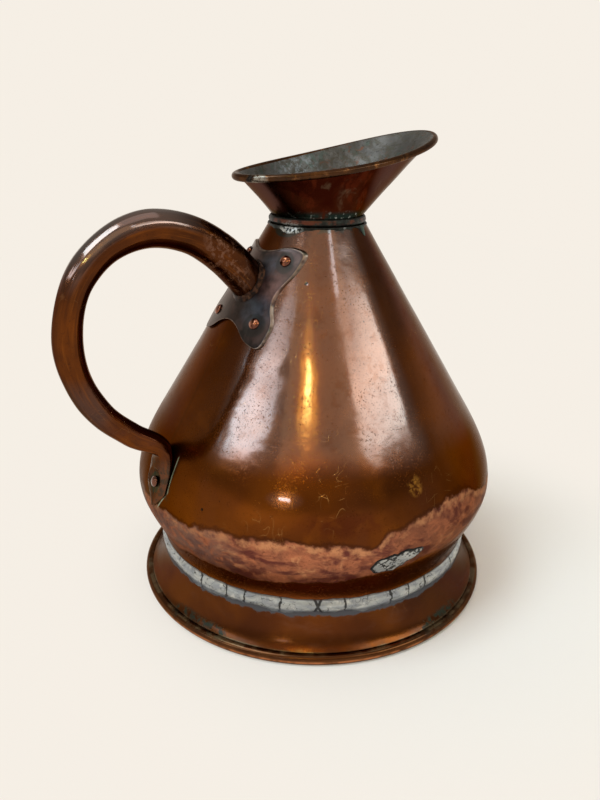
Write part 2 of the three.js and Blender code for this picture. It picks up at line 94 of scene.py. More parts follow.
# Handle
ROOT_HEIGHT = 250.0
ROOT_DIAMETER = 28.0
ROOT_TILT = 43.0
ARCH_HEIGHT = 293.5
HANDLE_REACH = 194.5
HEEL_HEIGHT = 138.0
HANDLE_ROUTE = (
    (0.422, 0.872, 0.985),
    (0.555, 0.972, 0.94),
    (0.71, 1.004, 0.91),
    (0.853, 0.941, 0.835),
    (0.956, 0.797, 0.75),
    (1.0, 0.585, 0.732),
    (0.979, 0.392, 0.714),
    (0.907, 0.225, 0.679),
    (0.81, 0.106, 0.655),
)
HEEL_WIDTH = 21.0
HEEL_DEPTH = 14.0
LEAF_WIDTH = 29.0
LEAF_THICKNESS = 2.4
LEAF_TOP_HEIGHT = 124.0
LEAF_MIDDLE_HEIGHT = 110.0
LEAF_TIP_HEIGHT = 95.0
LEAF_TIP_WIDTH = 3.0

# Plate, rivets and patch. A plate place is its side distance and its rise above the root.
PLATE_THICKNESS = 1.6
PLATE_BOTTOM_GAP = 0.3
PLATE_ROUND = 0.55
PLATE_EASING = 34
TOP_DIP = (0.0, 23.0)
UPPER_SHOULDER = (22.0, 28.0)
UPPER_TIP = (35.0, 24.5)
OUTER_SHOULDER = (34.5, 8.5)
PLATE_WAIST = (23.0, -6.0)
LOWER_SHOULDER = (39.0, -21.5)
LOWER_TIP = (38.5, -39.0)
INNER_SHOULDER = (22.0, -34.0)
BOTTOM_DIP = (0.0, -24.0)
PLATE_CENTRE = (0.0, -5.0)
PLATE_SOLDER_WIDTH = 2.4
PLATE_SOLDER_LENGTH = 3.6
UPPER_RIVET = (28.5, 267.5)
LOWER_RIVET = (19.5, 226.5)
LEAF_RIVET_HEIGHT = 113.0
RIVET_HEAD_RADIUS = 4.2
RIVET_HEAD_HEIGHT = 2.5
RIVET_SHANK_RADIUS = 2.0
RIVET_TAIL_RADIUS = 4.0
RIVET_TAIL_HEIGHT = 1.4
PATCH_TURN = -102.0
PATCH_HEIGHT = 79.0
PATCH_LENGTH = 40.5
PATCH_WIDTH = 17.0
PATCH_TILT = 14.0
PATCH_THICKNESS = 0.9

# Camera, fitted to the photograph: frame metres and radians
CAMERA_PLACE = (-0.2943, -0.4436, 0.3609)
CAMERA_FORWARD = (0.5344, 0.7632, -0.3633)
CAMERA_ROLL = -0.0102
LENS = 32.4
SENSOR = 36.0

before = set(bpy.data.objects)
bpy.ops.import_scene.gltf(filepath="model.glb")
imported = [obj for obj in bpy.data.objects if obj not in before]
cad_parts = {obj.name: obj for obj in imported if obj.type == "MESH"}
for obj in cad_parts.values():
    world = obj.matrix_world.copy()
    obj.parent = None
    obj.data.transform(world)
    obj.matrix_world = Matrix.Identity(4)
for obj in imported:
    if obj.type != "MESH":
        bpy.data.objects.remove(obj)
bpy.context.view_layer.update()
body_low, body_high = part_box("body_shell")
AXIS_X = (body_low.x + body_high.x) / 2 / MM


# Lines and curves
def bezier(a, b, c, d, steps):
    t = np.linspace(0, 1, steps + 1)[:, None]
    a, b, c, d = (np.array(p, float) for p in (a, b, c, d))
    return (1 - t) ** 3 * a + 3 * (1 - t) ** 2 * t * b + 3 * (1 - t) * t**2 * c + t**3 * d


def bend(a, b, c, steps):
    """A curve from a towards c that b draws to itself, without its last point."""
    t = np.linspace(0, 1, steps, endpoint=False)[:, None]
    a, b, c = (np.array(p, float) for p in (a, b, c))
    return (1 - t) ** 2 * a + 2 * (1 - t) * t * b + t**2 * c


def line(a, b, steps):
    return np.linspace(np.array(a, float), np.array(b, float), steps + 1)


def arc(centre, radius, start, end, steps):
    angle = np.radians(np.linspace(start, end, steps + 1))
    return np.stack([centre[0] + radius * np.cos(angle), centre[1] + radius * np.sin(angle)], 1)


def through(points, steps):
    """A centripetal Catmull-Rom curve through points, with as many samples for each stretch."""
    ends = np.concatenate([[2 * points[0] - points[1]], points, [2 * points[-1] - points[-2]]])
    t = np.linspace(0, 1, steps, endpoint=False)[:, None]
    out = []
    for p0, p1, p2, p3 in zip(ends, ends[1:], ends[2:], ends[3:]):
        d0, d1, d2 = (max(np.linalg.norm(b - a), 1e-6) ** 0.5 for a, b in ((p0, p1), (p1, p2), (p2, p3)))
        m1 = ((p1 - p0) / d0 - (p2 - p0) / (d0 + d1) + (p2 - p1) / d1) * d1
        m2 = ((p2 - p1) / d1 - (p3 - p1) / (d1 + d2) + (p3 - p2) / d2) * d1
        from_ends = (2 * t**3 - 3 * t**2 + 1) * p1 + (-2 * t**3 + 3 * t**2) * p2
        out.append(from_ends + (t**3 - 2 * t**2 + t) * m1 + (t**3 - t**2) * m2)
    return np.concatenate([*out, points[-1:]])


def unit(vectors):
    return vectors / np.maximum(np.linalg.norm(vectors, axis=-1, keepdims=True), 1e-6)


def run_along(points):
    """The distance covered along a line at each of its points."""
    return np.concatenate([[0], np.cumsum(np.linalg.norm(np.diff(points, axis=0), axis=1))])


def offset_line(points, distance):
    """The points moved to the left of their direction of travel by a distance."""
    way = unit(np.gradient(points, axis=0))
    return points + distance * np.stack([-way[:, 1], way[:, 0]], 1)


def smooth_step(value, low, high):
    t = np.clip((value - low) / (high - low), 0, 1)
    return t * t * (3 - 2 * t)


def ripple(points, size, seed):
    """Smooth noise from -1 to 1 at each point, with features about as large as size."""
    shift = Vector((seed * 7.3, seed * 3.1, seed * 5.7))
    values = [noise.noise(Vector(p) + shift) for p in points.reshape(-1, 3) / size]
    return np.array(values).reshape(points.shape[:-1])


def sunk(points, depth, size, seed):
    """An uneven sink from 0 to twice a depth, in waves about as large as size."""
    return depth * (1 + ripple(points, size, seed))


# Places round the axis
def round_turns(count):
    return np.linspace(0, 2 * np.pi, count, endpoint=False)


def around_axis(radius, turn, height):
    """Points from a radius, a turn in radians and a height."""
    radius, turn, height = np.broadcast_arrays(radius, turn, height)
    return np.stack([radius * np.cos(turn), radius * np.sin(turn), height], -1)


def turned(section, around=AROUND):
    """Rings round the axis from a section of radius and height: rings by points by three."""
    return around_axis(section[:, 0], round_turns(around)[:, None], section[:, 1])


def from_axis(points):
    return np.hypot(points[..., 0], points[..., 1])


def push_out(rings, distance):
    """Rings moved away from the axis by a distance for each point."""
    radius = from_axis(rings)
    moved = rings.copy()
    moved[..., :2] *= ((radius + distance) / np.maximum(radius, 1e-6))[..., None]
    return moved


def turn_gap(turn, middle):
    return (turn - middle + 180) % 360 - 180


# The body's outside, which most other pieces are set against
CONE_SLOPE = (SHOULDER_RADIUS - NECK_RADIUS) / (NECK_HEIGHT - SHOULDER_HEIGHT)


def body_outside():
    lower_reach = (BELLY_HEIGHT - WAIST_HEIGHT) / 3
    upper_reach = (SHOULDER_HEIGHT - BELLY_HEIGHT) / 3
    waist = (WAIST_RADIUS, WAIST_HEIGHT)
    widest = (WIDEST_RADIUS, BELLY_HEIGHT)
    shoulder = (SHOULDER_RADIUS, SHOULDER_HEIGHT)
    above_waist = (WAIST_RADIUS + WAIST_SLOPE * lower_reach, WAIST_HEIGHT + lower_reach)
    below_widest = (WIDEST_RADIUS, BELLY_HEIGHT - lower_reach)
    above_widest = (WIDEST_RADIUS, BELLY_HEIGHT + upper_reach)
    below_shoulder = (SHOULDER_RADIUS + CONE_SLOPE * upper_reach, SHOULDER_HEIGHT - upper_reach)
    flange = line((WAIST_RADIUS, PAN_HEIGHT - 1), waist, 5)
    lower = bezier(waist, above_waist, below_widest, widest, 30)
    upper = bezier(widest, above_widest, below_shoulder, shoulder, 36)
    cone = line(shoulder, (NECK_RADIUS, NECK_HEIGHT), 70)
    return np.concatenate([flange[:-1], lower[:-1], upper[:-1], cone])


BODY = body_outside()


def radius_at(height):
    return np.interp(height, BODY[:, 1], BODY[:, 0])


def slope_at(height):
    return radius_at(height + 0.5) - radius_at(height - 0.5)


def on_body(turn, height):
    """A point of the body's outside at a turn and a height, and the outward normal there."""
    outward = around_axis(1.0, math.radians(turn), 0.0)
    normal = unit(outward - np.array([0, 0, slope_at(height)]))
    return outward * radius_at(height) + np.array([0, 0, height]), normal


def lift_over(rings, lift):
    """How far points stand clear of the body's outside raised by a lift."""
    rise = lift * np.hypot(1, slope_at(rings[..., 2]))
    return from_axis(rings) - radius_at(rings[..., 2]) - rise


# Meshes
def make_piece(name, rings, node, materials, closed=True, zones=None):
    """A mesh skinned over rings, an array of rings by points by three. Each ring is a closed
    section. The rings close on themselves where closed, else the two ends are capped. zones gives
    each point's place in the section its material."""
    count, size = rings.shape[:2]
    zones = zones or [0] * size
    faces = []
    places = []
    for i in range(count if closed else count - 1):
        a, b = i * size, (i + 1) % count * size
        for j in range(size):
            k = (j + 1) % size
            faces.append((a + j, a + k, b + k, b + j))
            places.append(zones[j])
    if not closed:
        faces.append(tuple(reversed(range(size))))
        faces.append(tuple(range((count - 1) * size, count * size)))
        places += [0, 0]
    mesh = bpy.data.meshes.new(name)
    points = (rings.reshape(-1, 3) + np.array([AXIS_X, 0, 0])) * MM
    mesh.from_pydata(points.tolist(), [], faces)
    mesh.polygons.foreach_set("material_index", places)
    mesh.validate()
    turn_outward(mesh)
    mesh.shade_smooth()
    mesh.set_sharp_from_angle(angle=math.radians(50))
    for material in materials:
        mesh.materials.append(material)
    piece = put_in_scene(name, mesh)
    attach(piece, "root")
    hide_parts(node)
    return piece


def put_in_scene(name, data):
    made = bpy.data.objects.new(name, data)
    bpy.context.scene.collection.objects.link(made)
    return made


def turn_outward(mesh):
    """Flips the faces where the mesh's signed volume is negative."""
    points = np.zeros(len(mesh.vertices) * 3)
    mesh.vertices.foreach_get("co", points)
    mesh.calc_loop_triangles()
    corners = np.zeros(len(mesh.loop_triangles) * 3, int)
    mesh.loop_triangles.foreach_get("vertices", corners)
    a, b, c = (points.reshape(-1, 3)[corners.reshape(-1, 3)[:, i]] for i in range(3))
    if np.einsum("ij,ij->i", a, np.cross(b, c)).sum() < 0:
        mesh.flip_normals()


def store(piece, name, values):
    """Stores a value for each point of a piece, for its material."""
    attribute = piece.data.attributes.new(name, "FLOAT", "POINT")
    attribute.data.foreach_set("value", np.asarray(values, np.float32).ravel())


# Shading
def linear(code):
    """A linear colour from a six-digit sRGB code."""
    parts = [int(code[i : i + 2], 16) / 255 for i in (0, 2, 4)]
    return (*[p / 12.92 if p <= 0.04045 else ((p + 0.055) / 1.055) ** 2.4 for p in parts], 1.0)


class Value:
    """A node's output that sums can be written with."""

    def __init__(self, nodes, socket):
        self.nodes = nodes
        self.socket = socket

    def __add__(self, other):
        return self.nodes.math("ADD", self, other)

    def __sub__(self, other):
        return self.nodes.math("SUBTRACT", self, other)

    def __rsub__(self, other):
        return self.nodes.math("SUBTRACT", other, self)

    def __mul__(self, other):
        return self.nodes.math("MULTIPLY", self, other)

    def __truediv__(self, other):
        return self.nodes.math("DIVIDE", self, other)

    def __abs__(self):
        return self.nodes.math("ABSOLUTE", self)


class Nodes:
    """The node tree of a material, world or lamp, written as short calls. Each call gives back
    the output of the node that it makes, as a Value."""

    def __init__(self, owner, empty=True):
        owner.use_nodes = True
        self.tree = owner.node_tree
        if empty:
            self.tree.nodes.clear()

    def add(self, kind, inputs=None, output=0, **settings):
        made = self.tree.nodes.new("ShaderNode" + kind)
        for key, value in settings.items():
            setattr(made, key, value)
        for key, value in (inputs or {}).items():
            if isinstance(value, Value):
                self.tree.links.new(value.socket, made.inputs[key])
            else:
                made.inputs[key].default_value = value
        return Value(self, made.outputs[output])

    def end(self, kind, value):
        output = self.tree.nodes.new("ShaderNodeOutput" + kind)
        self.tree.links.new(value.socket, output.inputs[0])

    def math(self, operation, *values, **settings):
        return self.add("Math", dict(enumerate(values)), operation=operation, **settings)

    def most(self, *values):
        total = values[0]
        for value in values[1:]:
            total = self.math("MAXIMUM", total, value)
        return total

    def step(self, value, low, high, first=0.0, last=1.0):
        """The first value below low, the last one above high and smooth between. The two change
        places where low is above high."""
        inputs = {0: value, 1: low, 2: high, 3: first, 4: last}
        return self.add("MapRange", inputs, interpolation_type="SMOOTHSTEP")

    def mix(self, share, a, b):
        """Colour a where share is 0, colour b where it is 1."""
        return self.add("Mix", {"Factor": share, 6: a, 7: b}, 2, data_type="RGBA")


class Shade(Nodes):
    """A metal of the jug. Its colour and its normal change with each call of base, paint, dim
    and bump."""

    def __init__(self, name):
        self.material = bpy.data.materials.new(name)
        super().__init__(self.material)
        self.place = self.add("TexCoord", output="Object")
        self.x = self.add("SeparateXYZ", {0: self.place}, 0) - AXIS_X * MM
        self.y = self.add("SeparateXYZ", {0: self.place}, 1)
        self.height = self.add("SeparateXYZ", {0: self.place}, 2) / MM
        self.turn = self.math("DEGREES", self.math("ARCTAN2", self.y, self.x))
        self.colour = None
        self.normal = None

    def noise(self, size, seed=0.0, detail=3.0, rough=0.5, warp=0.0, stretch=None, place=None):
        """Noise from 0 to 1 with features about as large as size, in millimetres."""
        place = place or self.place
        if stretch:
            place = self.add("Mapping", {"Vector": place, "Scale": stretch})
        inputs = {"Vector": place, "W": seed, "Scale": 1 / (size * MM)}
        inputs |= {"Detail": detail, "Roughness": rough, "Distortion": warp}
        return self.add("TexNoise", inputs, "Fac", noise_dimensions="4D")

    def blots(self, low, high, *kind, **more):
        """Patches that noise of a kind makes: 0 where it is below low, 1 where it is above high."""
        return self.step(self.noise(*kind, **more), low, high)

    def spots(self, size, seed, edge, core):
        """Scattered round spots, 1 inside core and 0 beyond edge, as shares of size."""
        inputs = {"Vector": self.place, "W": seed, "Scale": 1 / (size * MM)}
        away = self.add("TexVoronoi", inputs, "Distance", voronoi_dimensions="4D")
        return self.step(away, edge, core)

    def lines(self, size, width, seed, warp, stretch=None):
        """Thin wandering lines, 1 on a line."""
        return self.step(abs(self.noise(size, seed, 2.0, 0.5, warp, stretch) - 0.5), width, 0.0)

    def stored(self, name):
        """A value that store put on the mesh."""
        return self.add("Attribute", output="Fac", attribute_name=name)

    def band(self, value, low, high, soft):
        """1 between low and high, with soft edges."""
        rise = self.step(value, low - soft, low + soft)
        return rise * self.step(value, high + soft, high - soft)

    def turn_from(self, turn):
        return self.math("WRAP", self.turn - turn, 180.0, -180.0)

    def near(self, turn, height, across, tall):
        """1 at a place on the body, falling to 0 at its edge."""
        side = self.math("POWER", self.turn_from(turn) / across, 2.0)
        rise = self.math("POWER", (self.height - height) / tall, 2.0)
        return self.step(side + rise, 1.0, 0.0)

    def around(self, *stops):
        """A value that follows the turn: pairs of turn and value from -180 to 180, joined
        smoothly."""
        share = self.add("MapRange", {0: self.turn, 1: -180.0, 2: 180.0, 3: 0.0, 4: 1.0})
        top = max(value for _, value in stops)
        colour = self.add("ValToRGB", {0: share})
        ramp = colour.socket.node.color_ramp
        ramp.interpolation = "EASE"
        for turn, _ in stops[1:-1]:
            ramp.elements.new((turn + 180) / 360)
        for mark, (_, value) in zip(ramp.elements, stops):
            mark.color = (value / top, value / top, value / top, 1)
        return colour * top

    def blend(self, share, a, b):
        """The number a where share is 0, b where it is 1."""
        return self.add("Mix", {"Factor": share, 2: a, 3: b}, data_type="FLOAT")

    def base(self, share, code, other):
        """Starts the colour: one code where share is 0, the other where it is 1."""
        self.colour = self.mix(share, linear(code), linear(other))

    def paint(self, mask, colour, amount=None):
        """Lays a colour or a code over the rest where mask is 1, thinned by amount."""
        share = mask if amount is None else mask * amount
        self.colour = self.mix(share, self.colour, linear(colour) if isinstance(colour, str) else colour)

    def dim(self, share):
        inputs = {0: self.colour, "Scale": share}
        self.colour = self.add("VectorMath", inputs, operation="SCALE")

    def bump(self, height, depth):
        """Raises the surface by a depth in millimetres where height is 1."""
        inputs = {"Height": height, "Distance": depth * MM, "Strength": 1.0}
        if self.normal:
            inputs["Normal"] = self.normal
        self.normal = self.add("Bump", inputs)

    def finish(self, metal, rough, tint=None, **coat):
        """The material. What coat holds goes to the shader's inputs whose names start so."""
        inputs = {"Base Color": self.colour, "Normal": self.normal, "Metallic": metal, "Roughness": rough}
        if tint:
            inputs["Specular Tint"] = tint
        for name, value in coat.items():
            inputs["Coat " + name] = value
        self.end("Material", self.add("BsdfPrincipled", inputs))
        return self.material


EDGE_TINT = (0.57, 0.48, 0.42, 1.0)
PLATE_TINT = (0.6, 0.5, 0.45, 1.0)
# Lighter copper for the belly below the bare band: painted light
BELOW_BAND_LIGHT = "8a4a20"
PEACH = "d59668"
STAIN = "5c2a28"
BLACK = "14120f"


def bare_copper(s, over):
    """Raw copper of the rubbed band: stained plum in patches, grey at its left end and behind,
    and freshest along its upper edge, where over is the height above that edge."""
    mottled = s.noise(13, 4, 5, 0.62, 1.2, (1, 1, 1.6))
    s.base(s.step(mottled, 0.35, 0.62), "b8714f", "935a42")
    s.paint(s.blots(0.55, 0.72, 9, 12, 4, 0.6, 0.8), PEACH, 0.7)
    s.paint(s.blots(0.46, 0.62, 26, 7, 5, 0.6, 1.4, (1, 1, 1.5)), STAIN, 0.85)
    blotched = s.step(s.most(s.near(-148, 73, 12, 10), s.near(-121, 65, 14, 7)), 0.1, 0.6)
    s.paint(blotched * s.blots(0.4, 0.54, 10, 46, 4, 0.6, 1.2), STAIN, 0.7)
    s.paint(s.blots(0.6, 0.7, 3, 29, 4, 0.65, 0.8), "3f2018", 0.5)
    s.paint(s.band(over, -6.5, -0.5, 2.0) * s.blots(0.38, 0.6, 8, 33, 4, 0.6), PEACH, 0.7)
    s.paint(s.near(-166, 80, 24, 30) * s.step(mottled, 0.3, 0.6), "7d6660", 0.6)
    s.paint(s.step(s.near(161, 84, 13, 38), 0.0, 0.5), "858380", 0.7)
    # Painted shade: the bare band darker towards its sides, lightest where it faces the front
    s.dim(
        s.around((-180, 0.75), (-152, 0.8), (-138, 1.0), (-112, 1.0), (-98, 0.68), (-60, 0.7), (180, 0.75))
    )
    return s.colour


def body_tones_and_painted_light(s, middle):
    """Patinated copper with painted light and shade by turn and in patches: golden on the belly
    below the windows, a painted reflection, and darker to the right of that, painted shade.
    """
    s.base(s.blots(0.36, 0.64, 70, 0, 3, 0.5, 0.6), "6e380a", "592b0a")
    s.paint(s.blots(0.48, 0.78, 30, 5, 3, 0.5, 0.2, (1, 1, 0.25)), "552e20", 0.3)
    s.paint(s.step(middle, 0.5, 0.8), "82450e", 0.45)
    # Painted light and shade: the copper made lighter or darker by turn and in three patches
    s.dim(
        s.around(
            (-180, 0.7), (-160, 0.85), (-142, 1.05), (-112, 1.05), (-95, 0.8), (-78, 0.64),
            (-60, 0.66), (-20, 0.85), (40, 1.0), (100, 0.75), (150, 0.9), (180, 0.7),
        )
    )
    s.dim(s.blend(s.near(-133, 134, 24, 34), 1.0, 1.5))
    s.dim(s.blend(s.near(-95, 122, 20, 24), 1.0, 0.78))
    s.dim(s.blend(s.near(-77, 188, 14, 40), 1.0, 1.4))
    # Painted reflection: a dark red-brown patch on the belly below the small highlight
    s.paint(s.near(-118, 112, 15, 11) * s.blots(0.4, 0.55, 12, 45, 3, 0.5, 0.8), "4a1c0a", 0.6)


def body_grime(s):
    """The seam, black-green grime below the neck and round the handle's leaf, and the pale green
    crust in the gap along the leaf's edge, which is given back."""
    s.paint(s.step(s.near(SEAM_TURN, 150, 1.2, 160), 0.2, 0.9), "3a2210", 0.25)
    crust = s.noise(5, 14, 5, 0.65, 0.6)
    smear = s.step(s.near(-162, 288, 20, 6), 0.05, 0.4) * s.step(crust, 0.36, 0.48)
    s.paint(s.most(s.step(s.height, 283, 289) * s.step(crust, 0.47, 0.58), smear), "22302b", 0.8)
    s.paint(s.near(180, 110, 8.5, 22) * s.step(crust, 0.4, 0.6), "2f3d33", 0.8)
    leaf_edge = s.math("MINIMUM", s.height * 0.77 - 69.3, 15.4)
    gap = abs(s.turn_from(180.0)) * 2.5 - leaf_edge
    green = s.band(gap, 0.1, 1.3, 0.4) * s.band(s.height, 95, 136, 3) * s.blots(0.36, 0.5, 8, 44)
    s.paint(green, "8f9a80", 0.85)
    return green


def body_scratches(s):
    zone = s.most(s.near(-120.5, 142, 6, 40) * 1.3, s.blots(0.56, 0.64, 45, 21, 2) * 0.5)
    scratches = s.most(
        s.lines(34, 0.0016, 11, 0.3),
        s.lines(30, 0.0014, 31, 0.2, (1, 1, 0.3)),
        s.lines(24, 0.0016, 41, 0.15, (0.3, 1, 1)),
        s.lines(17, 0.0022, 51, 0.2, (1, 1, 0.5)),
    )
    return scratches * zone * s.blots(0.45, 0.55, 7, 27, 2)


def body_film(s, bare, speck):
    """The film of wax that shows the windows as white, thin at the far sides and on the belly:
    its weight and how rough it is."""
    film = s.around(
        (-180, 0.03), (-165, 0.08), (-156, 1.0), (-137, 1.0), (-129, 0.78), (-119, 0.78), (-112, 1.0),
        (-92, 1.0), (-82, 0.12), (-50, 0.18), (0, 0.5), (60, 0.9), (120, 0.5), (180, 0.03),
    )
    polish = s.near(-134.2, 127.3, 6.5, 6.5)
    coat = s.most(film * s.blend(s.step(s.height, 136, 158), 0.03, 1.0), polish * 0.5)
    coat = s.blend(bare, coat, 0.05) * s.blend(speck, 1.0, 0.45)
    coat = coat * s.blend(s.blots(0.48, 0.68, 11, 35, 4, 0.6, 0.5), 1.0, 0.72)
    return coat, s.blend(polish, 0.1, 0.06)


def body_copper():
    s = Shade("body_copper")
    wander = (s.noise(30, 9, 6, 0.64, 0.5) - 0.5) * 17.0
    lifted = s.height + (wander + (s.noise(7, 3, 3, 0.6) - 0.5) * 7.0)
    over = lifted - s.around(
        (-180, 97), (-170, 95), (-155, 98), (-132, 101), (-117, 97), (-110, 95), (-104, 104),
        (-92, 111), (-80, 115), (-55, 101), (-10, 96), (40, 102), (90, 94), (140, 104), (180, 97),
    )
    above = lifted - s.around(
        (-180, 57), (-160, 65), (-143, 60), (-120, 63), (-106, 68), (-96, 73), (-77, 74),
        (-66, 86), (-40, 80), (-10, 62), (30, 66), (80, 58), (130, 64), (180, 57),
    )
    bare = s.step(over, 1.2, -1.2) * s.step(above, -2.0, 2.0)
    lit_below_band = s.step(above, 2.0, -3.0)
    middle = s.noise(22, 2, 4, 0.55, 0.4)
    raw = bare_copper(s, over)
    body_tones_and_painted_light(s, middle)
    # Painted light: below the bare band the copper is painted lighter, to lift the shade of its reflection
    # of the foot
    s.paint(lit_below_band, BELOW_BAND_LIGHT)
    s.paint(bare, raw)
    s.paint(s.band(over, -1.0, 2.4, 1.2), "30150b", 0.5)

    # Marks: a gold spot, pits, grime, scratches and fine specks
    s.paint(s.near(-94.6, 129.5, 3.2, 8) * s.blots(0.42, 0.58, 3, 8, 4, 0.7), "a8742e", 0.85)
    pits = s.spots(7, 4, 0.075, 0.05)
    s.paint(pits, BLACK, 0.85)
    hole = s.most(s.near(-158.8, 110.6, 0.55, 1.3), s.near(-133, 255, 1.6, 1.2))
    s.paint(hole, BLACK)
    green = body_grime(s)
    scratches = body_scratches(s)
    s.paint(scratches, "c79a5c", 0.7)
    cluster = s.blend(s.blots(0.4, 0.6, 15, 36), 0.35, 1.0)
    fine = s.blots(0.57, 0.65, 1.3, 18, 3, 0.7) * cluster
    speck = s.most(fine, s.blots(0.6, 0.7, 3.4, 22, 5, 0.72, 0.3))
    s.paint(speck, "341c0a", 0.4)

    s.bump(s.noise(18, 19, 2, 0.5, 0.3), 0.14)
    s.bump(s.noise(6, 20), 0.025)
    s.bump(1.0 - s.most(pits, hole), 0.25)
    s.bump(bare, -0.05)
    s.bump(scratches, -0.03)
    s.bump(speck, -0.012)
    rough = s.blend(bare, s.blend(s.step(middle, 0.35, 0.7), 0.13, 0.2), 0.38)
    rough = s.blend(lit_below_band, rough, 0.16) + s.around((-180, 0.14), (-162, 0.08), (-150, 0.0), (180, 0.14))

    coat, coat_rough = body_film(s, bare, speck)
    metal = s.blend(green, 1.0, 0.3)
    rough = rough + speck * 0.15
    return s.finish(metal, rough, EDGE_TINT, Weight=coat, Roughness=coat_rough, IOR=1.9, Normal=s.normal)


def foot_copper():
    s = Shade("foot_copper")
    broad = s.noise(55, 3, 3, 0.5, 0.6)
    s.base(s.step(broad, 0.36, 0.66), "6c380a", "50260a")
    s.paint(s.blots(0.52, 0.75, 24, 6, 4, 0.6, 0.6, (1, 1, 2)), "694330", 0.35)
    # Painted light and shade: the foot lighter at the front and darker to its right, by turn
    s.dim(
        s.around(
            (-180, 0.7), (-150, 0.85), (-125, 1.25), (-100, 0.8), (-80, 0.42), (-40, 0.7), (40, 1.0),
            (120, 0.8), (180, 0.7),
        )
    )
    # Blue-grey with a ragged lower edge, low on the foot's collar just below the solder
    grey_below_solder = s.step(s.height + (s.noise(9, 2, 4, 0.62, 0.4) - 0.5) * 9.0, 30.0, 31.4)
    s.paint(grey_below_solder, "54585e", 0.9)

    # The crease above the bead and the bead: green crust in places, grime, a worn band, a painted
    # highlight along the bead's lower side with painted shade below it, and dust
    places = s.most(s.near(-164, 8, 14, 9), s.near(-80, 8, 12, 9), s.near(70, 8, 30, 9))
    crease = s.step(places, 0.1, 0.5) * s.band(s.height, 6.0, 12.0, 2.0)
    crease = crease * s.blots(0.45, 0.57, 5, 5, 5, 0.65, 0.5)
    s.paint(crease, "26332b", 0.9)
    s.paint(s.band(s.height, 7.0, 9.6, 0.9) * s.blots(0.4, 0.6, 9, 15), "3c2a1c", 0.35)
    s.paint(s.band(s.height, 3.5, 7.5, 1.4) * s.blots(0.35, 0.65, 12, 8), "9a6436", 0.3)
    s.paint(s.step(s.height, 8.6, 7.6), "3a2312", 0.55)
    # Painted highlight: a bright line along the bead's lower side; below it, painted shade on the bead's
    # underside
    s.paint(s.band(s.height, 2.4, 4.2, 0.7) * s.blots(0.3, 0.6, 10, 18, 4, 0.6), "c98052", 0.8)
    s.paint(s.step(s.height, 3.0, 0.8), "2c170d", 0.7)
    dust = s.band(s.height, 7.3, 8.1, 0.3) * s.blots(0.42, 0.6, 11, 21)
    s.paint(dust, "6a5a3e", 0.5)
    pits = s.spots(8, 2, 0.07, 0.045)
    s.paint(pits, BLACK, 0.8)
    s.paint(s.lines(30, 0.0012, 3, 0.5) * s.blots(0.5, 0.6, 50, 4, 2), "a87a4e", 0.5)
    s.bump(s.noise(18, 9, 2, 0.5, 0.3), 0.2)
    s.bump(s.noise(4, 10), 0.03)
    s.bump(s.noise(1.1, 11, 2, 0.6), 0.01)
    s.bump(pits, -0.2)
    rough = s.blend(s.most(grey_below_solder, crease), s.blend(s.step(broad, 0.35, 0.65), 0.16, 0.24), 0.5)
    return s.finish(s.blend(dust, 1.0, 0.6), rough, EDGE_TINT, Weight=0.12, Roughness=0.12)


def funnel_copper():
    s = Shade("funnel_copper")
    broad = s.noise(30, 5, 4, 0.55, 0.6)
    s.base(s.step(broad, 0.4, 0.65), "2e0c04", "401c0c")
    s.paint(s.blots(0.52, 0.66, 12, 12, 4, 0.6, 0.8, (1, 1, 0.5)), "54200f", 0.5)
    stain = s.near(-92, 312, 16, 16) * s.blots(0.5, 0.72, 8, 8, 4, 0.55, 0.5)
    stain = s.most(stain, s.blots(0.62, 0.7, 18, 31, 5, 0.6, 1.0) * 0.6)
    s.paint(stain, "6a5844", 0.5)
    s.paint(s.most(s.near(178, 318, 26, 60), s.near(-40, 322, 34, 60)), "5c4644", 0.75)
    crust = s.step(s.height, 302, 298) * s.blots(0.34, 0.52, 10, 3)
    s.paint(crust, "1c2622")
    s.paint(crust * s.blots(0.56, 0.64, 3, 17, 4, 0.6), "9aa09a", 0.7)
    s.paint(s.step(s.near(LAP_TURN, 312, 1.2, 60), 0.1, 0.6), BLACK, 0.85)
    pits = s.spots(7, 3, 0.08, 0.05)
    s.paint(pits, BLACK, 0.8)
    s.bump(s.noise(14, 6, 2, 0.5, 0.3), 0.25)
    s.bump(s.noise(3, 7), 0.04)
    s.bump(pits, -0.15)
    return s.finish(1.0, s.blend(s.step(broad, 0.4, 0.7), 0.18, 0.34), EDGE_TINT)


def rim_copper():
    s = Shade("rim_copper")
    s.base(s.blots(0.38, 0.66, 20, 4, 4, 0.55, 0.4), "38200d", "553213")
    rubbed = s.blots(0.55, 0.7, 9, 9, 3, 0.6)
    s.paint(rubbed, "9a673a", 0.65)
    s.paint(s.blots(0.58, 0.7, 3, 2), "20140c")
    joint = s.near(-170, 321, 3.0, 9)
    s.paint(joint, "1a1512")
    s.paint(s.near(-164, 321, 7, 12) * s.blots(0.4, 0.52, 3, 12, 3, 0.6), "a9a396", 0.75)
    s.bump(s.noise(6, 3), 0.08)
    s.bump(joint, -0.3)
    return s.finish(1.0, s.blend(rubbed, 0.32, 0.22), EDGE_TINT, Weight=0.2, Roughness=0.15)


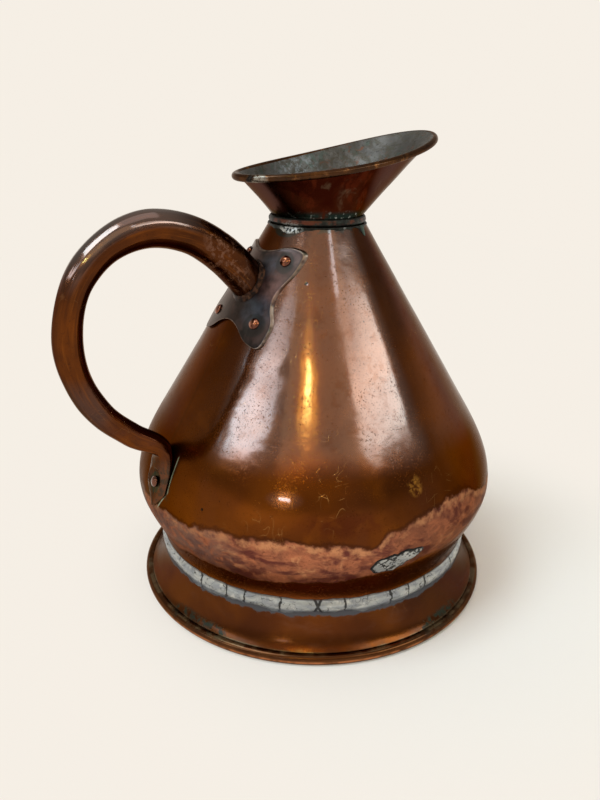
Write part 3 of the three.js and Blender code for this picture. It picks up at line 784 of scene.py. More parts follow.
def tinning():
    """Old tin on the inside: grey-blue, stained brown and green where it has worn, with a painted
    bluish highlight near the top of the far wall.
    """
    s = Shade("tinning")
    s.base(s.blots(0.35, 0.65, 22, 2, 5, 0.62, 0.8), "4c4a48", "62605e")
    worn = s.blots(0.42, 0.62, 7, 6, 5, 0.68, 0.6)
    s.paint(worn, "453f33", 0.7)
    s.paint(s.blots(0.52, 0.66, 9, 16, 5, 0.64, 0.8), "3f4f48", 0.6)
    rust = s.blots(0.57, 0.68, 7, 19, 5, 0.66, 0.6)
    s.paint(rust * s.blend(s.step(s.x, 0.0, 0.06), 0.5, 1.0), "66402e", 0.8)
    # Painted highlight: a bluish patch near the top of the inside, on its far wall
    s.paint(s.near(78, 322, 34, 20) * s.blots(0.46, 0.62, 4, 9, 5, 0.68, 0.5), "868d94", 0.6)
    s.dim(s.blend(s.step(s.x, 0.03, 0.1), 1.0, 1.35))
    s.paint(s.blots(0.56, 0.68, 2.2, 4, 3, 0.7), "25221e", 0.6)
    s.bump(s.noise(10, 5), 0.15)
    s.bump(s.noise(1.4, 7, 3, 0.6), 0.04)
    return s.finish(0.8, s.blend(worn, 0.38, 0.55))


def handle_copper():
    s = Shade("handle_copper")
    broad = s.noise(45, 3, 3, 0.5, 0.5)
    s.base(s.step(broad, 0.38, 0.66), "743a07", "522706")
    s.dim(s.blend(s.step(s.x, -0.15, -0.11), 0.92, 0.48))
    violet = s.blots(0.42, 0.66, 22, 5, 4, 0.55, 0.6)
    s.paint(s.step(s.height, 215, 170) * violet, "4a2a22", 0.45)
    # Painted reflection: a grey patch low on the handle's outer side
    s.paint(s.near(180, 182, 9, 26) * s.step(s.x, -0.168, -0.182), "4c3d38", 0.6)
    scuffed = s.band(s.x, -0.099, -0.07, 0.006) * s.blots(0.48, 0.62, 5, 7, 5, 0.65, 1.0)
    s.paint(scuffed, "86604c", 0.65)
    s.paint(s.blots(0.62, 0.72, 9, 8, 5, 0.62, 0.9), "94643e", 0.35)
    leaf = s.step(s.height, 136, 124)
    crust = s.blots(0.46, 0.6, 5, 9, 5, 0.66, 0.5)
    s.paint(leaf, "6d4a38", 0.6)
    s.paint(leaf * crust, "2c362d", 0.6)
    s.paint(s.step(s.near(180, LEAF_RIVET_HEIGHT, 3.6, 9), 0.05, 0.4) * leaf, "2f4a3a", 0.75)
    s.paint(s.blots(0.58, 0.7, 1.3, 12, 3, 0.6), "2a1408", 0.45)
    scratches = s.lines(26, 0.0016, 5, 0.8) * s.blots(0.5, 0.62, 30, 6, 2)
    s.paint(scratches, "b08658", 0.5)

    # Marks of drawing and hammering, which run along the tube, their light and dark streaks partly
    # painted reflections of its facets; then painted shade on all but the tube's front face
    along = s.stored("lengthwise") * (0.09 * MM)
    tube = s.add("CombineXYZ", {0: along, 1: s.stored("across") * MM, 2: s.stored("outward") * MM})
    drawn_and_sheen = s.noise(2.4, 14, 3, 0.6, 0.2, place=tube)
    s.paint(s.step(drawn_and_sheen, 0.5, 0.7), "8a4c14", 0.35)
    s.paint(s.step(drawn_and_sheen, 0.46, 0.3), "2e1206", 0.4)
    # Painted shade: the tube darker towards its inner and outer edges and on its far side
    s.dim(s.blend(s.step(s.stored("across"), -1.0, -11.0), 0.5, 0.95))
    s.bump(s.noise(6, 13, 2, 0.5, 0.4, place=tube), 0.45)
    s.bump(s.noise(15, 10, 2, 0.5, 0.3), 0.2)
    s.bump(drawn_and_sheen, 0.06)
    s.bump(s.noise(3, 11), 0.02)
    s.bump(scratches, -0.03)
    rough = s.blend(s.step(broad, 0.4, 0.65), 0.15, 0.22)
    rough = s.blend(s.most(scuffed, leaf * crust), rough, 0.45)
    film = s.band(s.x, -0.205, -0.112, 0.018) * s.step(s.height, 255, 290)
    film = s.blend(film * s.step(s.stored("outward"), -1.0, -7.0), 0.05, 1.0)
    return s.finish(1.0, rough, EDGE_TINT, Weight=film, Roughness=0.11, IOR=2.05, Normal=s.normal)


def plate_patina():
    s = Shade("plate_patina")
    edge = s.stored("edge")
    broad = s.noise(14, 3, 4, 0.55, 0.5)
    s.base(s.step(broad, 0.38, 0.64), "2a211d", "41302a")
    s.paint(s.blots(0.56, 0.7, 8, 5, 4, 0.6, 0.6), "573626", 0.35)
    s.paint(s.blots(0.45, 0.62, 17, 12, 3, 0.5, 0.4), "66504c", 0.55)
    s.paint(s.near(180, 241, 24, 26) * s.blots(0.3, 0.6, 9, 14, 4, 0.6), "1d110c", 0.75)
    # Painted highlight along the plate's edge, and a painted shadow line just inside it
    s.paint(s.step(edge, 0.95, 0.4) * s.blots(0.3, 0.56, 5, 7), "96806f", 0.7)
    s.paint(s.band(edge, 1.1, 1.9, 0.4), "17110e", 0.4)
    # Painted sheen: blue-grey on the plate's near side and pinkish in its middle
    blue_sheen = s.most(s.near(-163, 236, 13, 14), s.near(-165, 263, 14, 11) * 0.8)
    s.paint(blue_sheen * s.blots(0.2, 0.8, 9, 71, 3, 0.6), "626c7a", 0.6)
    s.paint(s.near(-156, 251, 13, 13) * s.blots(0.2, 0.8, 9, 72, 3, 0.6), "9a7068", 0.5)
    for turn, height in plate_rivets():
        s.paint(s.step(s.near(turn, height, 8.5, 8.5), 0.0, 0.35), "272a26", 0.5)
    green = s.step(edge, 0.9, 0.1) * s.blots(0.5, 0.6, 7, 9) * s.step(s.y, 0.0, -0.02)
    s.paint(green, "4c6a5a", 0.45)
    s.bump(s.noise(9, 6, 2, 0.5, 0.3), 0.22)
    s.bump(s.noise(2, 8), 0.03)
    rough = s.blend(s.step(broad, 0.4, 0.65), 0.3, 0.4)
    return s.finish(1.0, rough, PLATE_TINT, Weight=0.5, Roughness=0.22)


def rivet_copper():
    s = Shade("rivet_copper")
    s.base(s.blots(0.4, 0.62, 3.5, 2), "935638", "5e3220")
    dirt = s.blots(0.6, 0.72, 1.6, 4, 3, 0.6)
    s.paint(dirt, "2c1a12", 0.6)
    s.paint(s.step(s.height, 150, 130), "6a3d28")
    s.bump(s.noise(2.5, 5, 2), 0.12)
    return s.finish(1.0, s.blend(dirt, 0.18, 0.45), Weight=0.5, Roughness=0.15)


# Where the foot's solder is cracked across: each crack's turn and width in degrees, and the fork
SOLDER_CRACKS = (
    (-166, 0.16), (-155, 0.08), (-148, 0.2), (-136, 0.12), (-115, 0.07), (-99, 0.22), (-92, 0.08),
    (-84.5, 0.24), (-68, 0.16), (-30, 0.1), (5, 0.2), (40, 0.08), (92, 0.2), (131, 0.12),
)
FORK_TURN = -123.8
FORK_HEIGHT = 39.5


def solder_cracks(s):
    wander = (s.noise(3, 31, 3, 0.6) - 0.5) * 3.0
    cracks = s.most(s.lines(19, 0.009, 4, 1.8), s.lines(11, 0.005, 14, 1.2))
    for turn, width in SOLDER_CRACKS:
        away = abs(s.turn - turn + wander * 0.9)
        cracks = s.most(cracks, s.step(away, width + 0.3, width + 0.12))
    split = abs(abs(s.turn - FORK_TURN) - abs(s.height - FORK_HEIGHT) * 0.22)
    return s.most(cracks, s.step(split + wander * 0.1, 0.6, 0.36))


def wiped_solder():
    s = Shade("wiped_solder")
    s.base(s.blots(0.35, 0.62, 12, 3, 4, 0.6, 0.6, (1, 1, 2)), "b4b5b1", "94979a")
    white = s.blots(0.52, 0.68, 7, 5, 4, 0.6, 0.6)
    s.paint(white, "dad8d1", 0.7)
    cracks = solder_cracks(s)
    s.paint(cracks, "1f1c1a", 0.92)
    s.paint(s.spots(6, 2, 0.12, 0.07), "24211e", 0.85)
    s.paint(s.blots(0.62, 0.68, 4, 13, 4, 0.66, 0.6), "3b3733", 0.8)
    s.paint(s.step(s.height, 36.6, 34.6), "585d66", 0.7)
    s.paint(s.step(s.height, 42.8, 44.0), "3c2c24", 0.7)
    s.bump(s.noise(5, 7), 0.2)
    s.bump(1.0 - cracks, 0.25)
    return s.finish(0.65, s.blend(white, 0.34, 0.5))


def neck_metal():
    """Solder and grime round the neck: black-green, silver where it was smeared or rubbed."""
    s = Shade("neck_metal")
    crust = s.noise(4, 3, 5, 0.65, 0.6)
    s.base(s.step(crust, 0.42, 0.6), "171613", "2a2f29")
    copper = s.blots(0.42, 0.56, 9, 6, 5, 0.66) * s.band(s.height, 291.8, 294.6, 0.5)
    s.paint(copper, "5e2c17", 0.85)
    silver = s.near(-158, 287, 19, 8) * s.blots(0.45, 0.53, 3, 8, 4, 0.6, 1.5)
    silver = s.most(silver, s.blots(0.64, 0.74, 9, 11) * 0.5)
    s.paint(silver, "b9b8b3")
    s.paint(s.near(-66, 286, 5, 8) * s.step(crust, 0.35, 0.5), "3f574b", 0.9)
    s.bump(crust, 0.3)
    return s.finish(0.7, s.blend(s.most(silver, copper), 0.5, 0.3))


def patch_solder():
    s = Shade("patch_solder")
    s.base(s.blots(0.38, 0.62, 7, 3, 4, 0.6, 0.6), "8f908e", "b3b2ad")
    pits = s.blots(0.515, 0.55, 3.4, 5, 3, 0.6, 0.6)
    rim = s.step(s.stored("edge") + s.noise(3, 6) * 1.8, 3.2, 2.4)
    s.paint(s.most(pits * 0.9, rim), "171310")
    s.bump(s.noise(4, 7), 0.3)
    s.bump(pits, -0.3)
    return s.finish(0.6, s.blend(pits, 0.36, 0.7))


def dark_joint():
    s = Shade("dark_joint")
    crust = s.noise(4, 3, 5, 0.62, 0.5)
    s.base(s.step(crust, 0.4, 0.6), "1f1612", "4a3023")
    bright = s.blots(0.56, 0.68, 8, 5)
    s.paint(bright, "8d6a52", 0.5)
    s.bump(crust, 0.2)
    return s.finish(0.9, s.blend(bright, 0.5, 0.32))


def old_iron():
    s = Shade("old_iron")
    rust = s.noise(5, 2, 5, 0.6, 0.5)
    s.base(s.step(rust, 0.42, 0.62), "3f3b38", "5a3422")
    s.bump(rust, 0.15)
    return s.finish(0.8, s.blend(s.step(rust, 0.4, 0.6), 0.45, 0.75))


# Body shell: one raised sheet with shallow dents. A dent is its turn, its height, its half-width
# and half-height in millimetres, and its depth.
DENTS = (
    (-151, 171, 9, 12, 0.5),
    (-160, 114, 26, 9, 0.8),
    (-140, 205, 12, 26, 0.35),
    (-108, 165, 16, 22, 0.4),
    (-96, 205, 10, 30, 0.35),
    (-72, 150, 18, 16, 0.6),
    (-118, 104, 30, 8, 0.5),
    (-60, 118, 22, 14, 0.6),
    (-20, 160, 20, 18, 0.7),
    (35, 120, 26, 14, 0.8),
    (80, 190, 14, 22, 0.5),
    (125, 140, 24, 16, 0.8),
    (150, 205, 12, 20, 0.5),
)

# Where the body stays true: how far from its waist and neck, and how far from the middle of the
# leaf and the plate in degrees and in height, each from where it starts to where it is full
WAIST_TRUE = 14
NECK_TRUE = 22
LEAF_TRUE_MIDDLE = 112
LEAF_TRUE_TURNS = (16, 9)
LEAF_TRUE_RISES = (34, 24)
PLATE_TRUE_TURNS = (62, 48)
PLATE_TRUE_HEIGHTS = (196, 210)


def body_sink(rings):
    """How far each point of the body stands inside its true form."""
    turn = np.degrees(np.arctan2(rings[..., 1], rings[..., 0]))
    height = rings[..., 2]
    sink = sunk(rings, 0.2, 55, 1) + sunk(rings, 0.06, 22, 2)
    for middle, level, across, tall, depth in DENTS:
        side = np.radians(turn_gap(turn, middle)) * from_axis(rings) / across
        rise = (height - level) / tall
        sink += depth * np.exp(-(side**2) - rise**2)
    free = smooth_step(height, WAIST_HEIGHT, WAIST_HEIGHT + WAIST_TRUE)
    free *= smooth_step(height, NECK_HEIGHT, NECK_HEIGHT - NECK_TRUE)
    aside = np.abs(turn_gap(turn, 180))
    rise = np.abs(height - LEAF_TRUE_MIDDLE)
    leaf = smooth_step(aside, *LEAF_TRUE_TURNS) * smooth_step(rise, *LEAF_TRUE_RISES)
    plate = smooth_step(aside, *PLATE_TRUE_TURNS) * smooth_step(height, *PLATE_TRUE_HEIGHTS)
    return sink * free * (1 - np.maximum(leaf, plate))


def lined_zones(outside, inside):
    """The metal's zone for a section's outside and the lining's for the rest of it."""
    return [0] * (len(outside) - 1) + [1] * (len(inside) + 1)


def make_body(material, lining):
    inside = offset_line(BODY, BODY_WALL)[::-1][::2]
    rings = turned(np.concatenate([BODY, inside]))
    rings = push_out(rings, -body_sink(rings))
    zones = lined_zones(BODY, inside)
    make_piece("visual_body", rings, "body_shell", [material, lining], zones=zones)


def make_pan(material, lining):
    outer = WAIST_RADIUS - BODY_WALL - GAP
    top = PAN_HEIGHT + PAN_FLANGE
    corner = arc((outer - PAN_CORNER, PAN_HEIGHT + PAN_CORNER), PAN_CORNER, 270, 360, 6)
    floor = line((1, PAN_HEIGHT), (outer - PAN_CORNER, PAN_HEIGHT), 24)
    outside = np.concatenate([floor[:-1], corner, line(corner[-1], (outer, top), 3)[1:]])
    inside = offset_line(outside, PAN_WALL)[::-1]
    inside[0, 1] = top
    rings = turned(np.concatenate([outside, inside]), 180)
    sag = np.abs(0.5 * ripple(rings, 60, 4))
    rings[..., 2] += np.where(from_axis(rings) < outer - 12, sag, 0)
    zones = lined_zones(outside, inside)
    make_piece("visual_pan", rings, "bottom_pan", [material, lining], zones=zones)


# Foot: collar, flare and the roll round its wire
COLLAR_OUTER = WAIST_RADIUS + GAP + FOOT_WALL
FOOT_CURL_INNER = FOOT_WIRE_RADIUS + GAP
FOOT_CURL_OUTER = FOOT_CURL_INNER + FOOT_WALL
BEAD_RADIUS = WIDEST_RADIUS - FOOT_CURL_OUTER
BEAD_HEIGHT = FOOT_CURL_OUTER - FOOT_WEAR
FOOT_TRUE_ABOVE = (38, 24)
FOOT_TRUE_BELOW = (7, 13)


def foot_outside():
    skirt_foot = (BEAD_RADIUS - FOOT_CURL_INNER, BEAD_HEIGHT + FOOT_CURL_INNER)
    crease = (skirt_foot[0] + FOOT_CREASE_OUT, skirt_foot[1] + FOOT_CREASE_UP)
    drop = crease[1] - FLARE_TOP
    start = (COLLAR_OUTER, FLARE_TOP)
    bow = (COLLAR_OUTER + FOOT_WALL, FLARE_TOP + 0.45 * drop)
    flare = bezier(start, bow, (crease[0] - 3.4, FLARE_TOP + 0.86 * drop), crease, 26)
    collar = line((COLLAR_OUTER, COLLAR_TOP), start, 6)
    return np.concatenate([collar[:-1], flare, [skirt_foot, (skirt_foot[0], BEAD_HEIGHT)]])


def make_foot(material):
    outside = foot_outside()
    inside = offset_line(outside, -FOOT_WALL)
    bead = (BEAD_RADIUS, BEAD_HEIGHT)
    flat = math.degrees(math.acos(BEAD_HEIGHT / FOOT_CURL_OUTER))
    end = 360 + FOOT_CURL_END
    inner_curl = arc(bead, FOOT_CURL_INNER, 180, end, 20)
    outer_curl = arc(bead, FOOT_CURL_OUTER, end, 270 + flat, 20)
    past_ground = arc(bead, FOOT_CURL_OUTER, 270 - flat, 180, 6)
    section = np.concatenate([outside[:-1], inner_curl, outer_curl, past_ground, inside[:-1][::-1]])
    rings = turned(section)
    height = rings[..., 2]
    sink = sunk(rings, 0.3, 50, 6) + sunk(rings, 0.1, 16, 7)
    sink *= smooth_step(height, *FOOT_TRUE_ABOVE) * smooth_step(height, *FOOT_TRUE_BELOW)
    make_piece("visual_foot", push_out(rings, -sink), "foot_skirt", [material])


def make_foot_solder(material):
    turn = round_turns(480)[:, None]
    circle = around_axis(COLLAR_OUTER, turn, 0.0)
    top = FOOT_SOLDER_TOP + 0.9 * ripple(circle, 14, 8) + 0.5 * ripple(circle, 5, 9)
    drips = np.clip(ripple(circle, 16, 10), -0.2, 1)
    bottom = FOOT_SOLDER_BOTTOM + 0.7 - 4.2 * drips + 1.1 * ripple(circle, 5, 11)
    share = np.linspace(0, 1, 15)
    height = top + (bottom - top) * share
    skirt = foot_outside()
    skirt_radius = np.interp(-height, -skirt[:, 1], skirt[:, 0])
    under = np.where(height > COLLAR_TOP, radius_at(height), skirt_radius)
    joint = smooth_step(height, COLLAR_TOP + 3.5, COLLAR_TOP - 0.5)
    under = np.maximum(under, radius_at(height) + (COLLAR_OUTER - WAIST_RADIUS) * joint)
    lumps = 1 + 0.35 * ripple(circle, 11, 12)
    thick = 0.15 + FOOT_SOLDER_BULGE * lumps * np.sin(np.pi * share) ** 0.7
    outer = around_axis(under + thick, turn, height)
    inner = around_axis(under + 0.05, turn, height)[:, -2:0:-1]
    rings = np.concatenate([outer, inner], 1)
    make_piece("visual_foot_solder", rings, "foot_solder", [material])


# Neck and mouth funnel
SPIGOT_RADIUS = NECK_RADIUS - BODY_WALL * math.hypot(1, CONE_SLOPE) - GAP
BAND_BOTTOM = NECK_HEIGHT + GAP
BAND_TOP = BAND_BOTTOM + NECK_BAND_WIDTH
THROAT_HEIGHT = BAND_TOP + GAP

# Runs of solder below the neck: each one's turn, its depth and its width in degrees
NECK_RUNS = ((-67, 5.5, 4), (-156, 2.5, 13))

# How far the funnel's wall bows in
FUNNEL_HOLLOW = 0.5


def make_neck_band(material):
    inner = SPIGOT_RADIUS + GAP
    half = arc((0, 0), 1, -90, 90, 12)[1:] * (NECK_BAND_BULGE - GAP, NECK_BAND_WIDTH / 2)
    bulge = half + (inner, (BAND_BOTTOM + BAND_TOP) / 2)
    rings = turned(np.concatenate([bulge, [(inner, BAND_TOP), (inner, BAND_BOTTOM)]]), 200)
    rings = push_out(rings, -sunk(rings, 0.2, 7, 13))
    rings = push_out(rings, np.maximum(inner - from_axis(rings), 0))
    make_piece("visual_neck_band", rings, "neck_band", [material])


def make_neck_solder(material):
    turn = round_turns(240)[:, None]
    circle = around_axis(NECK_RADIUS, turn, 0.0)
    low = NECK_HEIGHT - NECK_SOLDER_DEPTH + 1.6 * ripple(circle, 7, 14)
    for middle, depth, width in NECK_RUNS:
        low = low - depth * np.exp(-((turn_gap(np.degrees(turn), middle) / width) ** 2))
    share = np.linspace(0, 1, 8)
    height = NECK_HEIGHT + (low - NECK_HEIGHT) * share
    under = radius_at(height) + 0.1
    thick = 0.75 * (1 - share**2) * (1 + 0.3 * ripple(circle, 5, 15)) + 0.08
    outer = around_axis(under + thick, turn, height)
    inner = around_axis(under, turn, height)[:, ::-1]
    rings = np.concatenate([outer, inner], 1)
    make_piece("visual_neck_solder", rings, "neck_solder", [material])


def make_funnel(outside_metal, lining, rim_metal):
    turn = round_turns(AROUND)
    forward, aside = np.cos(turn), np.sin(turn)
    rise = NECK_HEIGHT + RIM_HEIGHT + RIM_RISE * forward + RIM_LIFT * forward**2
    centre = np.stack([RIM_CENTRE + RIM_HALF_LENGTH * forward, RIM_HALF_WIDTH * aside, rise], 1)
    climb = -(RIM_RISE + 2 * RIM_LIFT * forward) * aside
    along = np.stack([-RIM_HALF_LENGTH * aside, RIM_HALF_WIDTH * forward, climb], 1)
    up = unit(centre - around_axis(SPIGOT_RADIUS, turn, THROAT_HEIGHT))
    outward = unit(np.cross(along, up))

    def rim(points):
        return centre[:, None] + outward[:, None] * points[:, :1] + up[:, None] * points[:, 1:]

    def ring(radius, height):
        return around_axis(radius, turn, height)[:, None]

    inner_curl = RIM_WIRE_RADIUS + GAP
    outer_roll = rim(arc((0, 0), inner_curl + FUNNEL_WALL, 180, RIM_CURL_END, 22))
    around_wire = rim(arc((0, 0), inner_curl, RIM_CURL_END, 180, 20))
    inner_radius = SPIGOT_RADIUS - FUNNEL_WALL
    inner_throat = ring(inner_radius, THROAT_HEIGHT)
    outer_throat = ring(SPIGOT_RADIUS, THROAT_HEIGHT)
    share = np.linspace(0, 1, 28)[1:-1, None]
    inner_wall = inner_throat + (outer_roll[:, :1] - inner_throat) * share
    outer_wall = around_wire[:, -1:] + (outer_throat - around_wire[:, -1:]) * share
    past_lap = (np.degrees(turn) - LAP_TURN) % 360
    lap = LAP_HEIGHT * np.where(past_lap < LAP_FADE, 1 - past_lap / LAP_FADE, 0)[:, None, None]
    bow = np.sin(np.pi * share)
    hollow = -FUNNEL_HOLLOW * bow * (1 + ripple(outer_wall, 26, 16)[..., None])
    bottom = NECK_HEIGHT - SPIGOT_DEPTH
    parts = (
        (1, ring(inner_radius, bottom)),
        (1, inner_throat),
        (1, inner_wall + outward[:, None] * hollow),
        (2, outer_roll),
        (2, around_wire),
        (0, outer_wall + outward[:, None] * (lap * bow**0.3 + hollow)),
        (0, outer_throat),
        (0, ring(SPIGOT_RADIUS, bottom)),
    )
    rings = np.concatenate([points for _, points in parts], 1)
    zones = [zone for zone, points in parts for _ in range(points.shape[1])]
    materials = [outside_metal, lining, rim_metal]
    make_piece("visual_funnel", rings, "mouth_funnel", materials, zones=zones)


# Handle. A dent is its x, y and height, its reach and its depth.
HANDLE_STEPS = 14
TRIMMED_RINGS = 28
HANDLE_DENTS = (
    (-172, -8, 292, 17, 1.9),
    (-204, -4, 246, 22, 0.6),
    (-199, -6, 196, 18, 0.9),
    (-104, -14, 285, 16, 0.5),
    (-150, 12, 300, 20, 0.6),
    (-190, 10, 262, 24, 0.8),
    (-172, 8, 160, 20, 0.8),
)

# The leaf's dish round its rivet: how much of the sheet's thickness is left under it, the radii
# where it is at its deepest and where it ends, and the raised edge's radius, width and height
DISH_LEFT = 0.72
DISH_INNER = 6.0
DISH_OUTER = 11.5
DISH_EDGE_RADIUS = 10.5
DISH_EDGE_WIDTH = 2.2
DISH_EDGE_HEIGHT = 0.7

# Where the handle stays undented: its first rings, and the height below which it is the leaf
ROOT_TRUE_RINGS = (4, 16)
LEAF_TRUE_HEIGHTS = (140, 152)


def handle_stations():
    """Places along the handle: x and height, and the width and depth of its section."""
    tilt = math.radians(ROOT_TILT)
    inset = ROOT_DIAMETER / 2
    root_x = inset * math.cos(tilt) - radius_at(ROOT_HEIGHT)
    stations = [(root_x, ROOT_HEIGHT - inset * math.sin(tilt), ROOT_DIAMETER, ROOT_DIAMETER)]
    for out, up, size in HANDLE_ROUTE:
        height = HEEL_HEIGHT + (ARCH_HEIGHT - HEEL_HEIGHT) * up
        stations.append((-HANDLE_REACH * out, height, ROOT_DIAMETER * size, ROOT_DIAMETER * size))
    for height, lift, across, deep in (
        (HEEL_HEIGHT, HEEL_DEPTH / 2, HEEL_WIDTH, HEEL_DEPTH),
        (LEAF_TOP_HEIGHT, LEAF_THICKNESS / 2, LEAF_WIDTH, 3 * LEAF_THICKNESS),
        (LEAF_MIDDLE_HEIGHT, 0, LEAF_WIDTH, 2 * LEAF_THICKNESS),
        (LEAF_TIP_HEIGHT, 0, LEAF_TIP_WIDTH, 2 * LEAF_THICKNESS),
    ):
        stations.append((-radius_at(height) - GAP - lift, height, across, deep))
    return np.array(stations)


def handle_rings(growth, sides, lift):
    """Rings along the handle, grown by a distance: rings by points by three. Their start is drawn
    up to the body's outside raised by a lift."""
    stations = handle_stations()
    route = through(stations[:, :2], HANDLE_STEPS)
    sizes = through(stations[:, 2:], HANDLE_STEPS)
    way = unit(np.gradient(route, axis=0))
    angle = round_turns(sides)
    across = (sizes[:, :1] / 2 + growth) * np.cos(angle)
    outward = (sizes[:, 1:] / 2 + growth) * np.sin(angle)
    x = route[:, :1] - way[:, 1:] * outward
    z = route[:, 1:] + way[:, :1] * outward
    return trim_start(np.stack([x, across, z], 2), lift)


def trim_start(rings, lift):
    clear = lift_over(rings, lift)
    out = rings.copy()
    index = np.arange(len(rings))
    for j in range(rings.shape[1]):
        first = int(np.argmax(clear[:, j] > 0))
        a, b = clear[first - 1, j], clear[first, j]
        start = first - 1 + a / (a - b)
        drawn_up = start + (TRIMMED_RINGS - start) * index / TRIMMED_RINGS
        where = np.where(index < TRIMMED_RINGS, drawn_up, index)
        for axis in range(3):
            out[:, j, axis] = np.interp(where, index, rings[:, j, axis])
    return out


def dent_handle(rings):
    """The tube sunk unevenly towards its middle, but for its two ends."""
    sink = sunk(rings, 0.14, 24, 17) + sunk(rings, 0.06, 9, 18)
    for *place, reach, depth in HANDLE_DENTS:
        gap = np.linalg.norm(rings - place, axis=2)
        sink += depth * np.exp(-((gap / reach) ** 2))
    index = np.arange(len(rings))
    free = smooth_step(index, *ROOT_TRUE_RINGS)
    above_leaf = smooth_step(rings[:, :, 2].mean(1), *LEAF_TRUE_HEIGHTS)
    free = free * np.where(index < len(rings) / 2, 1, above_leaf)
    return rings - unit(rings - rings.mean(1, keepdims=True)) * (sink * free[:, None])[..., None]


def press_leaf(rings):
    """The leaf with its underside laid on the belly and its face dished round the rivet."""
    low = (rings[..., 2] < SHOULDER_HEIGHT) & (rings[..., 0] < 0)
    rings = push_out(rings, np.where(low, np.maximum(-lift_over(rings, GAP), 0), 0))
    place, normal = on_body(180, LEAF_RIVET_HEIGHT)
    rise = (rings - place) @ normal
    flat = np.linalg.norm(rings - place - rise[..., None] * normal, axis=2)
    floor = GAP + LEAF_THICKNESS * DISH_LEFT
    dish = np.maximum(rise - floor, 0) * smooth_step(flat, DISH_OUTER, DISH_INNER)
    away = (flat - DISH_EDGE_RADIUS) / DISH_EDGE_WIDTH
    edge = DISH_EDGE_HEIGHT * np.exp(-(away**2)) * (rise > floor)
    return rings + ((edge - dish) * low)[..., None] * normal


def make_handle(material):
    tube = handle_rings(0, 56, PLATE_THICKNESS + 2 * GAP)
    rings = press_leaf(dent_handle(tube))
    piece = make_piece("visual_handle", rings, "handle_tube", [material], closed=False)
    run = run_along(tube.mean(1))[:, None]
    angle = round_turns(rings.shape[1])
    store(piece, "lengthwise", run + 0 * angle)
    store(piece, "across", ROOT_DIAMETER / 2 * np.cos(angle) + 0 * run)
    store(piece, "outward", ROOT_DIAMETER / 2 * np.sin(angle) + 0 * run)


def make_plate_solder(material):
    lift = PLATE_THICKNESS + 2 * GAP - 0.2
    base, _, after = handle_rings(0.15, 72, lift)[:3]
    wide = handle_rings(PLATE_SOLDER_WIDTH, 72, lift)[0]
    foot = base + (wide - base) * (1 + 0.35 * ripple(wide, 5, 19)[:, None])
    along = unit(after - base)
    top = base + along * PLATE_SOLDER_LENGTH * (1 + 0.25 * ripple(base, 6, 20)[:, None])
    belly = (foot + top) / 2 - (foot - base) * 0.22 - along * 0.3
    lip = foot + (top - foot) * 0.12 + along * 0.35
    rings = np.stack([base, foot, lip, belly, top - along * 0.2, top], 1)
    make_piece("visual_plate_solder", rings, "plate_solder", [material])


# Plate, cut out of the cone's curve
def plate_outline(count):
    """Places round the plate's edge, evenly spaced and with slightly eased corners."""
    half = np.concatenate(
        [
            bend(TOP_DIP, (UPPER_SHOULDER[0] / 2, TOP_DIP[1]), UPPER_SHOULDER, 16),
            line(UPPER_SHOULDER, UPPER_TIP, 6)[:-1],
            line(UPPER_TIP, OUTER_SHOULDER, 8)[:-1],
            bend(OUTER_SHOULDER, PLATE_WAIST, LOWER_SHOULDER, 18),
            line(LOWER_SHOULDER, LOWER_TIP, 8)[:-1],
            line(LOWER_TIP, INNER_SHOULDER, 8)[:-1],
            bend(INNER_SHOULDER, (INNER_SHOULDER[0] / 2, BOTTOM_DIP[1]), BOTTOM_DIP, 16),
        ]
    )
    whole = np.concatenate([half, [BOTTOM_DIP], half[::-1] * (-1, 1)])
    run = run_along(whole)
    at = np.linspace(0, run[-1], count, endpoint=False)
    even = np.stack([np.interp(at, run, whole[:, 0]), np.interp(at, run, whole[:, 1])], 1)
    for _ in range(PLATE_EASING):
        even = (np.roll(even, 1, 0) + 2 * even + np.roll(even, -1, 0)) / 4
    return even


def on_cone(flat, lift):
    """Points over the cone on the handle's side, from side distance and rise above the root."""
    height = ROOT_HEIGHT + flat[..., 1]
    radius = radius_at(height) + lift * np.hypot(1, slope_at(height))
    x = -np.sqrt(radius**2 - flat[..., 0] ** 2)
    return np.stack([x, flat[..., 0], height], -1)


# The plate is drawn in round its rivets
RIVET_DIMPLE = 0.55
RIVET_DIMPLE_REACH = 8.0


def plate_rivets():
    places = []
    for turn, height in (UPPER_RIVET, LOWER_RIVET):
        places += [(180 + turn, height), (180 - turn, height)]
    return places


def make_plate(material):
    """The plate from the middle of its face to its rounded edge, and back below it."""
    outline = plate_outline(300)
    centre = np.array(PLATE_CENTRE)
    reach = np.linalg.norm(outline - centre, axis=1)
    face = GAP + PLATE_THICKNESS
    rows = [(reach * (1 - share), face) for share in (*np.linspace(0.02, 0.9, 22), 0.94, 0.97)]
    face_rows = len(rows)
    for angle in np.radians((0, 30, 60, 90)):
        inset, fall = PLATE_ROUND * (1 - np.sin(angle)), PLATE_ROUND * (1 - np.cos(angle))
        rows.append((inset + 0 * reach, face - fall))
    rows += [(reach * (1 - share), PLATE_BOTTOM_GAP / 2) for share in (1.0, 0.9, 0.5, 0.02)]
    edges = np.stack([edge for edge, _ in rows])
    lifts = np.array([lift for _, lift in rows])[:, None]
    flat = centre + (outline - centre) * (1 - edges / reach)[..., None]
    rings = on_cone(flat, lifts)
    wave = 0.22 * ripple(rings, 13, 21) - 0.1
    for turn, height in plate_rivets():
        gap = np.linalg.norm(rings - on_body(turn, height)[0], axis=2)
        wave -= RIVET_DIMPLE * np.exp(-((gap / RIVET_DIMPLE_REACH) ** 2))
    wave[face_rows:] = 0
    rings = push_out(rings, wave * smooth_step(edges, 0.4, 3.0))
    piece = make_piece("visual_plate", rings, "handle_plate", [material], closed=False)
    store(piece, "edge", edges)


